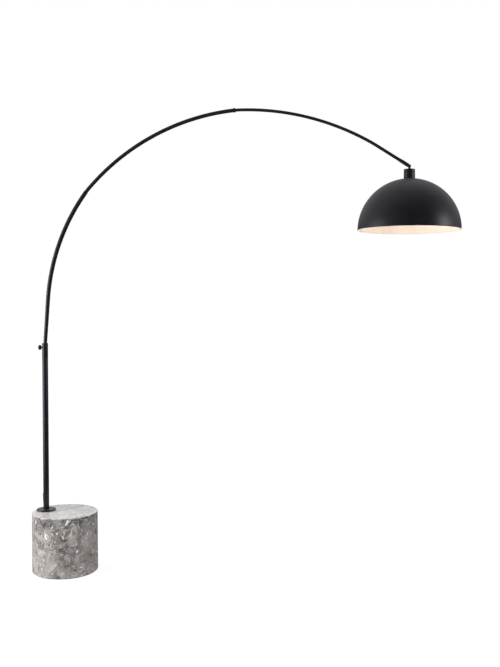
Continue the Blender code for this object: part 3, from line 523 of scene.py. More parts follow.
@dataclass(frozen=True)
class PolishedStone(Finish):
    """Polished brecciated marble: grey-brown shards in a flowing matrix with pale curling threads."""

    deep: Colour = (0.120, 0.108, 0.102)
    body: Colour = (0.352, 0.326, 0.312)
    pale: Colour = (0.520, 0.494, 0.478)
    rosy: Colour = (0.470, 0.385, 0.352)
    thread: Colour = (0.800, 0.780, 0.765)
    fleck: Colour = (0.900, 0.890, 0.880)
    crack: Colour = (0.040, 0.036, 0.034)
    # dust that also paints the pale sheen on the top face
    dust_and_sheen_film: Colour = (0.500, 0.484, 0.480)
    # a painted highlight over the top face and the upper arris
    painted_top_highlight: Colour = (0.590, 0.585, 0.600)
    # Folds: per metre, reach. Shards: cells per metre, strength. Threads: waves per metre, bands, width,
    # strength. Cracks: waves per metre, shift. Chips: cells per metre, rarity, size in cells.
    folds: tuple[tuple[float, float], ...] = ((7.0, 0.110), (20.0, 0.045))
    shards: tuple[tuple[float, float], ...] = ((20.0, 0.50), (46.0, 0.36))
    threads: tuple[tuple[float, float, float, float], ...] = (
        (11.0, 9.0, 0.12, 0.74),
        (16.0, 11.0, 0.15, 0.66),
        (30.0, 5.0, 0.14, 0.50),
    )
    cracks: tuple[tuple[float, tuple[float, float, float]], ...] = (
        (13.0, (3.1, 1.7, 5.3)),
        (29.0, (1.9, 4.4, 0.7)),
    )
    chips: tuple[tuple[float, float, float], ...] = (
        (18.0, 0.80, 0.25),
        (38.0, 0.87, 0.34),
        (75.0, 0.90, 0.40),
    )
    # where the painted top highlight fades in below the top, and its strength
    top_highlight_depth: float = 0.0016
    top_highlight_end: float = 0.0002
    top_highlight_share: float = 0.30
    dust_and_sheen_amount: float = 0.50
    roughness: float = 0.055
    relief_depth: float = 0.00003

    def paint(self, canvas: Canvas, surface: bpy.types.Node) -> None:
        """Clouds, shards, threads, cracks and flecks, each folded by the same flow.

        Args:
            canvas: The material's canvas.
            surface: Its Principled shader.
        """
        where = canvas.place()
        flow = where
        for scale, reach in self.folds:
            flow = self._bent(canvas, flow, scale, reach)
        # painted shade: darker near the top and on the far side from the pole
        painted_shade = self._painted_shade(canvas, where)
        colour = self._clouds(canvas, flow, painted_shade)
        colour = self._shards(canvas, flow, colour, painted_shade)
        colour = self._threads(canvas, flow, colour)
        colour = self._cracks(canvas, flow, colour)
        colour, flecks = self._flecks(canvas, flow, colour)
        # dust and a painted sheen: the top face is mixed towards a paler grey
        dust_and_sheen_film = DUST_AND_TOP_SHEEN.use(canvas, Place=where, Amount=self.dust_and_sheen_amount)
        colour = canvas.mix(dust_and_sheen_film.outputs["Mask"], colour, self.dust_and_sheen_film)
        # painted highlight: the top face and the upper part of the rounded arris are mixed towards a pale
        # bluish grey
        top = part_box("marble_base")[1].z
        height = canvas.add("ShaderNodeSeparateXYZ", None, Vector=where).outputs["Z"]
        painted_top_highlight = canvas.spread(
            height, top - self.top_highlight_depth, top - self.top_highlight_end, 0.0, self.top_highlight_share
        )
        canvas.feed(surface.inputs["Base Color"], canvas.mix(painted_top_highlight, colour, self.painted_top_highlight))
        polish = HANDLING.use(canvas, Place=where, Roughness=self.roughness, Amount=0.06)
        canvas.feed(surface.inputs["Roughness"], polish.outputs["Roughness"])
        pits = canvas.spread(canvas.noise(where, 260.0, 4.0, 0.65), 0.60, 0.78)
        relief = canvas.compute("SUBTRACT", canvas.compute("MULTIPLY", flecks, 0.4), pits)
        canvas.feed(surface.inputs["Normal"], bump(canvas, relief, self.relief_depth))
        surface.inputs["IOR"].default_value = 1.52

    @staticmethod
    def _bent(canvas: Canvas, where: NodeInput, scale: float, reach: float) -> bpy.types.NodeSocket:
        """Coordinates folded by slow noise.

        Args:
            canvas: The material's canvas.
            where: The coordinates.
            scale: The folds per metre.
            reach: How far a point moves, in metres.

        Returns:
            The folded coordinates.
        """
        push = canvas.noise(where, scale, 2.0, 0.5, "Color")
        centred = canvas.vector("SUBTRACT", push, (0.5, 0.5, 0.5))
        return canvas.vector("ADD", where, canvas.vector("SCALE", centred, reach))

    @staticmethod
    def _painted_shade(canvas: Canvas, where: NodeInput) -> bpy.types.NodeSocket:
        """Painted shade: darkest near the top on the far side from the pole, the side turned from the left
        light.

        Args:
            canvas: The material's canvas.
            where: The point on the stone.

        Returns:
            The painted shade, 0 to 1.
        """
        across = canvas.vector("DOT_PRODUCT", where, (2.4, 0.0, 3.2))
        cloud = canvas.compute("MULTIPLY", canvas.noise(where, 9.0, 2.0, 0.5), 1.1)
        return canvas.spread(canvas.compute("ADD", across, cloud), 0.55, 1.65)

    def _clouds(self, canvas: Canvas, flow: NodeInput, painted_shade: NodeInput) -> bpy.types.NodeSocket:
        """The stone's changes of tone, darkened under the painted shade.

        Args:
            canvas: The material's canvas.
            flow: The folded coordinates.
            painted_shade: The painted shade here.

        Returns:
            The colour.
        """
        tone = canvas.noise(flow, 24.0, 5.0, 0.58)
        # the painted shade darkens the tone
        tone = canvas.compute("SUBTRACT", tone, canvas.compute("MULTIPLY", painted_shade, 0.17))
        grey = canvas.ramp(tone, [(0.27, self.deep), (0.40, self.body), (0.50, self.body), (0.66, self.pale)])
        warm = canvas.spread(canvas.noise(flow, 12.0, 2.0, 0.5), 0.50, 0.62, 0.0, 0.65)
        return canvas.mix(warm, grey, canvas.mix(0.5, grey, self.rosy))

    def _shards(
        self, canvas: Canvas, flow: NodeInput, colour: NodeInput, painted_shade: NodeInput
    ) -> bpy.types.NodeSocket:
        """Broken pieces of darker and paler stone, in two sizes; the dark ones gather under the painted shade.

        Args:
            canvas: The material's canvas.
            flow: The folded coordinates.
            colour: The colour so far.
            painted_shade: The painted shade here.

        Returns:
            The colour.
        """
        for scale, share in self.shards:
            cells = canvas.add("ShaderNodeTexVoronoi", {"feature": "F1"}, Vector=flow, Scale=scale)
            pick = canvas.add("ShaderNodeSeparateColor", None, Color=cells.outputs["Color"])
            # the painted shade brings out more dark pieces
            darker = canvas.compute("ADD", pick.outputs["Green"], canvas.compute("MULTIPLY", painted_shade, 0.30))
            colour = canvas.mix(canvas.spread(darker, 0.74, 0.92, 0.0, share), colour, self.deep)
            paler = canvas.spread(pick.outputs["Blue"], 0.72, 0.84, 0.0, share * 0.8)
            colour = canvas.mix(paler, colour, self.pale)
        return colour

    def _threads(self, canvas: Canvas, flow: NodeInput, colour: NodeInput) -> bpy.types.NodeSocket:
        """Thin pale threads that curl side by side along the flow.

        Args:
            canvas: The material's canvas.
            flow: The folded coordinates.
            colour: The colour so far.

        Returns:
            The colour.
        """
        for scale, bands, width, share in self.threads:
            height = canvas.compute("MULTIPLY", canvas.noise(flow, scale, 1.0, 0.5), bands)
            contour = canvas.compute("FRACT", height)
            ridge = canvas.compute("ABSOLUTE", canvas.compute("SUBTRACT", contour, 0.5))
            line = canvas.spread(ridge, 0.0, width, share, 0.0)
            gaps = canvas.spread(canvas.noise(flow, scale * 1.9, 2.0, 0.5), 0.44, 0.62)
            colour = canvas.mix(canvas.compute("MULTIPLY", line, gaps), colour, self.thread)
        return colour

    def _cracks(self, canvas: Canvas, flow: NodeInput, colour: NodeInput) -> bpy.types.NodeSocket:
        """Short dark cracks beside the threads.

        Args:
            canvas: The material's canvas.
            flow: The folded coordinates.
            colour: The colour so far.

        Returns:
            The colour.
        """
        for scale, shift in self.cracks:
            shifted = canvas.vector("ADD", flow, shift)
            middle = canvas.compute("SUBTRACT", canvas.noise(shifted, scale, 2.0, 0.5), 0.5)
            line = canvas.spread(canvas.compute("ABSOLUTE", middle), 0.0, 0.026, 0.60, 0.0)
            gaps = canvas.spread(canvas.noise(shifted, scale * 0.7, 2.0, 0.5), 0.54, 0.66)
            colour = canvas.mix(canvas.compute("MULTIPLY", line, gaps), colour, self.crack)
        return colour

    def _flecks(
        self, canvas: Canvas, flow: NodeInput, colour: NodeInput
    ) -> tuple[bpy.types.NodeSocket, bpy.types.NodeSocket]:
        """Scattered crisp white chips.

        Args:
            canvas: The material's canvas.
            flow: The folded coordinates.
            colour: The colour so far.

        Returns:
            The colour, and the mask of the chips.
        """
        mask: NodeInput = 0.0
        for scale, rarity, size in self.chips:
            settings = {"feature": "F1", "distance": "MANHATTAN"}
            cells = canvas.add("ShaderNodeTexVoronoi", settings, Vector=flow, Scale=scale)
            pick = canvas.add("ShaderNodeSeparateColor", None, Color=cells.outputs["Color"])
            chosen = canvas.spread(pick.outputs["Red"], rarity, rarity + 0.02)
            chip = canvas.spread(cells.outputs["Distance"], size * 0.85, size, 1.0, 0.0)
            mask = canvas.compute("MAXIMUM", mask, canvas.compute("MULTIPLY", chosen, chip))
        return canvas.mix(mask, colour, self.fleck), mask


@dataclass(frozen=True)
class PressedFelt(Finish):
    """Dark pressed felt."""

    colour: Colour = (0.030, 0.029, 0.028)
    pale_colour: Colour = (0.075, 0.072, 0.070)
    depth: float = 0.0003

    def paint(self, canvas: Canvas, surface: bpy.types.Node) -> None:
        """Matted fibres in two greys.

        Args:
            canvas: The material's canvas.
            surface: Its Principled shader.
        """
        where = canvas.place()
        fibres = canvas.noise(where, 1300.0, 5.0, 0.75)
        colour = canvas.mix(canvas.spread(fibres, 0.35, 0.7), self.colour, self.pale_colour)
        canvas.feed(surface.inputs["Base Color"], colour)
        canvas.feed(surface.inputs["Normal"], bump(canvas, fibres, self.depth))
        surface.inputs["Roughness"].default_value = 0.95


@dataclass(frozen=True)
class BareMetal(Finish):
    """Turned or plated metal without paint."""

    colour: Colour = (0.60, 0.60, 0.58)
    dull_colour: Colour = (0.42, 0.42, 0.41)
    roughness: float = 0.30
    lines: float = 1600.0
    depth: float = 0.00001
    smudges: float = 0.22

    def paint(self, canvas: Canvas, surface: bpy.types.Node) -> None:
        """Fine turning lines, with duller patches.

        Args:
            canvas: The material's canvas.
            surface: Its Principled shader.
        """
        where = canvas.place()
        lines = TURNING_LINES.use(canvas, Place=where, Lines=self.lines)
        hands = HANDLING.use(canvas, Place=where, Roughness=self.roughness, Amount=self.smudges)
        colour = canvas.mix(hands.outputs["Mask"], self.colour, self.dull_colour)
        canvas.feed(surface.inputs["Base Color"], colour)
        canvas.feed(surface.inputs["Roughness"], hands.outputs["Roughness"])
        canvas.feed(surface.inputs["Normal"], bump(canvas, lines.outputs["Height"], self.depth))
        surface.inputs["Metallic"].default_value = 1.0


@dataclass(frozen=True)
class MouldedPlastic(Finish):
    """Moulded plastic with a fine spark-eroded skin."""

    colour: Colour = (0.018, 0.018, 0.019)
    pale_colour: Colour = (0.030, 0.030, 0.031)
    roughness: float = 0.55
    cells: float = 1400.0
    depth: float = 0.00003
    smudges: float = 0.12

    def paint(self, canvas: Canvas, surface: bpy.types.Node) -> None:
        """A fine matt grain with faint wear.

        Args:
            canvas: The material's canvas.
            surface: Its Principled shader.
        """
        where = canvas.place()
        skin = FINE_TEXTURE.use(canvas, Place=where, Cells=self.cells, Waves=0.2)
        hands = HANDLING.use(canvas, Place=where, Roughness=self.roughness, Amount=self.smudges)
        colour = canvas.mix(skin.outputs["Mask"], self.colour, self.pale_colour)
        canvas.feed(surface.inputs["Base Color"], colour)
        canvas.feed(surface.inputs["Roughness"], hands.outputs["Roughness"])
        canvas.feed(surface.inputs["Normal"], bump(canvas, skin.outputs["Height"], self.depth))


@dataclass(frozen=True)
class WhiteEnamel(Finish):
    """The pale stoved enamel inside the dome."""

    colour: Colour = (0.86, 0.80, 0.73)
    warm_colour: Colour = (0.80, 0.73, 0.65)
    roughness: float = 0.50
    depth: float = 0.000008
    smudges: float = 0.12

    def paint(self, canvas: Canvas, surface: bpy.types.Node) -> None:
        """A soft white with slow changes and a fine skin.

        Args:
            canvas: The material's canvas.
            surface: Its Principled shader.
        """
        where = canvas.place()
        skin = FINE_TEXTURE.use(canvas, Place=where, Cells=700.0)
        hands = HANDLING.use(canvas, Place=where, Roughness=self.roughness, Amount=self.smudges)
        colour = canvas.mix(hands.outputs["Mask"], self.colour, self.warm_colour)
        canvas.feed(surface.inputs["Base Color"], colour)
        canvas.feed(surface.inputs["Roughness"], hands.outputs["Roughness"])
        canvas.feed(surface.inputs["Normal"], bump(canvas, skin.outputs["Height"], self.depth))


@dataclass(frozen=True)
class GlazedCeramic(Finish):
    """Glazed porcelain."""

    colour: Colour = (0.78, 0.77, 0.73)
    speck_colour: Colour = (0.50, 0.46, 0.40)
    roughness: float = 0.22
    depth: float = 0.00003

    def paint(self, canvas: Canvas, surface: bpy.types.Node) -> None:
        """A glossy off-white with tiny specks.

        Args:
            canvas: The material's canvas.
            surface: Its Principled shader.
        """
        where = canvas.place()
        specks = canvas.spread(canvas.noise(where, 900.0, 2.0, 0.5), 0.72, 0.80)
        skin = FINE_TEXTURE.use(canvas, Place=where, Cells=300.0, Waves=0.6)
        canvas.feed(surface.inputs["Base Color"], canvas.mix(specks, self.colour, self.speck_colour))
        canvas.feed(surface.inputs["Normal"], bump(canvas, skin.outputs["Height"], self.depth))
        surface.inputs["Roughness"].default_value = self.roughness


@dataclass(frozen=True)
class OpalGlass(Finish):
    """Lit opal glass: it glows most where it faces down and outwards."""

    glow: Colour = (1.0, 0.84, 0.62)
    dim_glow: Colour = (1.0, 0.72, 0.44)
    colour: Colour = (0.93, 0.90, 0.84)
    cloud_colour: Colour = (0.88, 0.84, 0.78)
    fade_from: float = 0.045
    fade_to: float = 0.015
    roughness: float = 0.25
    strength: float = 1.6

    def paint(self, canvas: Canvas, surface: bpy.types.Node) -> None:
        """A warm glow that fades towards the cap.

        Args:
            canvas: The material's canvas.
            surface: Its Principled shader.
        """
        where = canvas.place()
        height = canvas.add("ShaderNodeSeparateXYZ", None, Vector=where).outputs["Z"]
        low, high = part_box("bulb_glass")
        towards_cap = canvas.spread(height, low.z + self.fade_from, high.z - self.fade_to)
        cloud = canvas.compute("MULTIPLY", canvas.noise(where, 60.0, 2.0, 0.5), 0.25)
        fade = canvas.compute("ADD", canvas.compute("MULTIPLY", towards_cap, 0.8), cloud)
        canvas.feed(surface.inputs["Emission Color"], canvas.mix(fade, self.glow, self.dim_glow))
        canvas.feed(surface.inputs["Base Color"], canvas.mix(cloud, self.colour, self.cloud_colour))
        surface.inputs["Emission Strength"].default_value = self.strength
        surface.inputs["Roughness"].default_value = self.roughness


@dataclass(frozen=True)
class StudioFloor(Finish):
    """The plain pale floor: white to the eye, and duller in what it lights and in what shines."""

    colour: Colour = (0.08, 0.08, 0.08)
    glow: float = 0.91
    in_gloss: float = 0.10
    in_gloss_behind: float = 0.20
    in_matt: float = 0.32

    def paint(self, canvas: Canvas, surface: bpy.types.Node) -> None:
        """A matt white sheet that gives a little light of its own.

        Args:
            canvas: The material's canvas.
            surface: Its Principled shader.
        """
        where = canvas.place()
        tone = canvas.spread(canvas.noise(where, 3.0, 2.0, 0.5), 0.3, 0.7, 0.985, 1.0)
        paper = canvas.mix(1.0, self.colour, tone, "MULTIPLY")
        canvas.feed(surface.inputs["Base Color"], paper)
        canvas.feed(surface.inputs["Emission Color"], (1.0, 1.0, 1.0))
        surface.inputs["Emission Strength"].default_value = self.glow
        surface.inputs["Roughness"].default_value = 1.0
        surface.inputs["Specular IOR Level"].default_value = 0.0
        turn = math.radians(CAMERA_AZIMUTH)
        backward = canvas.vector("DOT_PRODUCT", where, (-math.sin(turn), math.cos(turn), 0.0))
        in_gloss = canvas.spread(backward, -0.4, 0.9, self.in_gloss, self.in_gloss_behind)
        path = canvas.add("ShaderNodeLightPath")
        level = canvas.blend_value(path.outputs["Is Glossy Ray"], self.in_matt, in_gloss)
        dull = canvas.add("ShaderNodeEmission", None, Color=(1.0, 1.0, 1.0), Strength=level)
        both = canvas.add("ShaderNodeMixShader", None, Fac=path.outputs["Is Camera Ray"])
        output = canvas.tree.nodes["Material Output"]
        canvas.tree.links.new(dull.outputs["Emission"], both.inputs[1])
        canvas.tree.links.new(surface.outputs["BSDF"], both.inputs[2])
        canvas.tree.links.new(both.outputs["Shader"], output.inputs["Surface"])


BLACK_COAT = SatinCoat("satin_black_coat")
# the plate's extra dust also paints the sheen on its top face
PLATE_COAT = SatinCoat("satin_black_plate_coat", roughness=0.15, dust_and_sheen=0.30)
DOME_COAT = SatinCoat("satin_black_dome_coat", roughness=0.42, cells=800.0, dust_and_sheen=0.30)
HARDWARE_BLACK = SatinCoat(
    "blackened_hardware", (0.014, 0.014, 0.015), (0.026, 0.026, 0.027), roughness=0.33, cells=1800.0, dust_and_sheen=0.1
)
STONE = PolishedStone("polished_grey_marble")
FELT = PressedFelt("pressed_felt")
ZINC = BareMetal("zinc_plate")
BRASS = BareMetal("bright_brass", (0.80, 0.58, 0.26), (0.62, 0.43, 0.18), roughness=0.24)
NYLON = MouldedPlastic("black_nylon")
SLEEVE = MouldedPlastic("cord_sleeve_plastic", (0.012, 0.012, 0.012), (0.020, 0.020, 0.020), 0.45, 2000.0)
ENAMEL = WhiteEnamel("warm_white_enamel")
PORCELAIN = GlazedCeramic("glazed_porcelain")
OPAL = OpalGlass("lit_opal_glass")
FLOOR = StudioFloor("studio_floor")


# ------------------------------------------------------------------ mesh building
def rounded_corner(
    corner: tuple[float, float],
    before: tuple[float, float],
    after: tuple[float, float],
    size: float,
    count: int = 4,
) -> Profile:
    """The points that round one corner of a profile.

    Args:
        corner: The sharp corner.
        before: The profile's point before it.
        after: The profile's point after it.
        size: How far along each side the round starts.
        count: How many steps the round takes.

    Returns:
        The points of the round, from the side before to the side after.
    """
    here, back, ahead = Vector(corner), Vector(before), Vector(after)
    start = here + (back - here).normalized() * min(size, (back - here).length / 2)
    end = here + (ahead - here).normalized() * min(size, (ahead - here).length / 2)
    points = []
    for step in range(count + 1):
        share = step / count
        point = start * (1 - share) ** 2 + here * (2 * share * (1 - share)) + end * share**2
        points.append((point.x, point.y))
    return points


def softened(profile: Sequence[tuple[float, float, float]], closed: bool = True, count: int = 4) -> Profile:
    """A profile with its marked corners rounded.

    Args:
        profile: Each corner's radius, height and rounding size, with 0 for a sharp corner.
        closed: Whether the last corner joins the first.
        count: How many steps each round takes.

    Returns:
        The profile's points.
    """
    corners = [(radius, height) for radius, height, _ in profile]
    points: Profile = []
    for index, (radius, height, size) in enumerate(profile):
        ends = not closed and index in (0, len(profile) - 1)
        if size <= 0 or ends:
            points.append((radius, height))
            continue
        after = corners[(index + 1) % len(corners)]
        points += rounded_corner((radius, height), corners[index - 1], after, size, count)
    return points


def mesh_from(name: str, shape: bmesh.types.BMesh, sharp: float = 32.0) -> bpy.types.Mesh:
    """Finishes a shape as a smooth mesh with crisp edges.

    Args:
        name: The mesh's name.
        shape: The shape, which is freed.
        sharp: The angle in degrees above which an edge stays crisp.

    Returns:
        The mesh.
    """
    bmesh.ops.recalc_face_normals(shape, faces=shape.faces)
    mesh = bpy.data.meshes.new(name)
    shape.to_mesh(mesh)
    shape.free()
    mesh.shade_smooth()
    mesh.set_sharp_from_angle(angle=math.radians(sharp))
    return mesh


def new_object(name: str, mesh: bpy.types.Mesh, finish: Finish) -> bpy.types.Object:
    """Puts a mesh in the scene with one finish.

    Args:
        name: The piece's name.
        mesh: Its mesh, in the row frame.
        finish: Its finish.

    Returns:
        The object.
    """
    made = bpy.data.objects.new(name, mesh)
    bpy.context.scene.collection.objects.link(made)
    made.data.materials.append(finish.material())
    return made


def revolved(
    name: str,
    profile: Sequence[tuple[float, float]],
    finish: Finish,
    placing: Matrix,
    steps: int = 96,
    closed: bool = True,
    swell: Callable[[float, float, float], float] | None = None,
    sharp: float = 32.0,
) -> bpy.types.Object:
    """A turned piece.

    Args:
        name: The piece's name.
        profile: Its section's (radius, height) points.
        finish: Its finish.
        placing: Where its axis stands in the row frame.
        steps: Facets round the axis.
        closed: Whether the section's last point joins its first.
        swell: Gives a change of radius from (angle, radius, height), such as a knurl.
        sharp: The angle in degrees above which an edge stays crisp.

    Returns:
        The piece.
    """
    shape = bmesh.new()
    rings: list[list[bmesh.types.BMVert]] = []
    for radius, height in profile:
        if radius < 1e-7:
            rings.append([shape.verts.new(placing @ Vector((0.0, 0.0, height)))])
            continue
        ring = []
        for step in range(steps):
            angle = math.tau * step / steps
            here = radius + (swell(angle, radius, height) if swell else 0.0)
            point = Vector((here * math.cos(angle), here * math.sin(angle), height))
            ring.append(shape.verts.new(placing @ point))
        rings.append(ring)
    pairs = list(zip(rings, rings[1:]))
    if closed:
        pairs.append((rings[-1], rings[0]))
    for first, second in pairs:
        bridge(shape, first, second)
    return new_object(name, mesh_from(name, shape, sharp), finish)


def drill(
    name: str, radius: float, start: float, end: float, placing: Matrix, finish: Finish, steps: int = 48
) -> bpy.types.Object:
    """A round cutter along the placing's local Z.

    Args:
        name: The cutter's name.
        radius: Its radius.
        start: Where it starts.
        end: Where it ends.
        placing: Its placing.
        finish: The finish of the cut faces.
        steps: How many sides it has.

    Returns:
        The cutter.
    """
    side = [(0, start), (radius, start), (radius, end), (0, end)]
    return revolved(name, side, finish, placing, steps=steps, closed=False)


def bridge(
    shape: bmesh.types.BMesh, first: list[bmesh.types.BMVert], second: list[bmesh.types.BMVert]
) -> None:
    """Joins two rings of a turned or swept shape with faces.

    Args:
        shape: The shape.
        first: One ring, or a single point.
        second: The next ring, or a single point.
    """
    count = max(len(first), len(second))
    if count == 1:
        return
    for step in range(count):
        ahead = (step + 1) % count
        if len(first) == 1:
            shape.faces.new((first[0], second[step], second[ahead]))
        elif len(second) == 1:
            shape.faces.new((first[step], second[0], first[ahead]))
        else:
            shape.faces.new((first[step], second[step], second[ahead], first[ahead]))


def upright(x: float, z: float = 0.0) -> Matrix:
    """A placing on an upright axis at (x, 0)."""
    return Matrix.Translation((x, 0.0, z))


def facing(origin: Vector, direction: Vector) -> Matrix:
    """A placing whose local Z points along a direction.

    Args:
        origin: Where it stands.
        direction: Where its local Z points.

    Returns:
        The placing.
    """
    turn = Vector((0.0, 0.0, 1.0)).rotation_difference(direction.normalized())
    return Matrix.Translation(origin) @ turn.to_matrix().to_4x4()


def block(
    low: Sequence[float], high: Sequence[float], placing: Matrix, edge: float = 0.0
) -> bmesh.types.BMesh:
    """A box with rounded edges.

    Args:
        low: Its lowest corner, in its own placing.
        high: Its highest corner.
        placing: Where it stands.
        edge: How wide its rounded edges are.

    Returns:
        The shape.
    """
    shape = bmesh.new()
    bmesh.ops.create_cube(shape, size=1.0)
    low, high = Vector(low), Vector(high)
    bmesh.ops.scale(shape, verts=shape.verts, vec=high - low)
    bmesh.ops.translate(shape, verts=shape.verts, vec=(low + high) / 2)
    if edge > 0:
        bmesh.ops.bevel(
            shape,
            geom=list(shape.edges),
            offset=edge,
            segments=3,
            profile=0.5,
            affect="EDGES",
            clamp_overlap=True,
        )
    bmesh.ops.transform(shape, matrix=placing, verts=shape.verts)
    return shape


def carved(
    piece: bpy.types.Object,
    cutters: Iterable[bpy.types.Object],
    operation: str = "DIFFERENCE",
    sharp: float = 32.0,
) -> bpy.types.Object:
    """Cuts or joins shapes with a piece, for good, and removes them.

    Args:
        piece: The piece.
        cutters: The shapes.
        operation: DIFFERENCE to cut or UNION to join.
        sharp: The angle in degrees above which an edge stays crisp.

    Returns:
        The piece.
    """
    cutters = list(cutters)
    for cutter in cutters:
        step = piece.modifiers.new(cutter.name, "BOOLEAN")
        step.operation = operation
        step.solver = "EXACT"
        step.object = cutter
    bpy.context.view_layer.update()
    graph = bpy.context.evaluated_depsgraph_get()
    mesh = bpy.data.meshes.new_from_object(piece.evaluated_get(graph))
    piece.modifiers.clear()
    finish = piece.data.materials[0]
    piece.data = mesh
    mesh.materials.clear()
    mesh.materials.append(finish)
    mesh.polygons.foreach_set("material_index", [0] * len(mesh.polygons))
    mesh.shade_smooth()
    mesh.set_sharp_from_angle(angle=math.radians(sharp))
    for cutter in cutters:
        bpy.data.objects.remove(cutter, do_unlink=True)
    return piece


def settle(piece: bpy.types.Object, body: Body, slot: Slot, *nodes: str) -> bpy.types.Object:
    """Makes a piece ride on a body in place of CAD nodes.

    Args:
        piece: The piece.
        body: The body it rides on.
        slot: The record's slot for the piece; not used.
        *nodes: The CAD nodes that it stands for.

    Returns:
        The piece.
    """
    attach(piece, body.value)
    if nodes:
        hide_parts(*nodes)
    LOG.info("%s rides on %s", piece.name, body.value)
    return piece


def dress(finish: Finish, *nodes: str) -> None:
    """Gives carried-over CAD nodes a finish.

    Args:
        finish: The finish.
        *nodes: The nodes.
    """
    for name in nodes:
        materials = NODES[name].data.materials
        materials.clear()
        materials.append(finish.material())
        LOG.info("%s keeps its own shape", name)


def centre_x(node: str) -> float:
    """The X of a CAD node's middle."""
    low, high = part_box(node)
    return (low.x + high.x) / 2


# ------------------------------------------------------------------ base
class Assembly:
    """One group of the lamp's pieces."""

    def build(self) -> None:
        """Builds the group's pieces."""
        raise NotImplementedError

    def dress(self) -> None:
        """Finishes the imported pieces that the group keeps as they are, where it has any."""


@dataclass
class StoneBase(Assembly):
    """The stone drum on its felt pad, and the tie rod's pieces under it."""

    radius: float = 0.140
    edge: float = 0.0030
    pad_edge: float = 0.0006
    rod_hole_radius: float = 0.007
    recess_radius: float = 0.030
    recess_depth: float = 0.022

    def build(self) -> None:
        """Builds the drum and the pad."""
        low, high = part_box("marble_base")
        drum = revolved(
            "stone_drum",
            softened(
                [
                    (0, high.z, 0),
                    (self.radius, high.z, self.edge),
                    (self.radius, low.z, self.edge),
                    (0, low.z, 0),
                ],
                closed=False,
                count=6,
            ),
            STONE,
            upright(0.0),
            steps=192,
            closed=False,
        )
        pole_x = centre_x("pole_tube")
        axis = upright(pole_x)
        hole = drill("rod_hole", self.rod_hole_radius, high.z + CUT_PAST, -CUT_PAST, axis, STONE)
        top = low.z + self.recess_depth
        recess = drill("recess", self.recess_radius, top, -CUT_PAST, axis, STONE, 64)
        carved(drum, [hole, recess])
        settle(drum, Body.ROOT, Slot.MARBLE, "marble_base")

        pad_low, pad_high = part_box("base_pad")
        pad = revolved(
            "felt_pad",
            softened(
                [
                    (0, pad_high.z, 0),
                    (pad_high.x, pad_high.z, self.pad_edge),
                    (pad_high.x, pad_low.z, self.pad_edge),
                    (0, pad_low.z, 0),
                ],
                closed=False,
            ),
            FELT,
            upright(0.0),
            steps=160,
            closed=False,
        )
        settle(pad, Body.ROOT, Slot.FELT, "base_pad")

    def dress(self) -> None:
        """Finishes the pieces of the tie rod."""
        dress(ZINC, "anchor_rod", "anchor_washer", "anchor_nut")


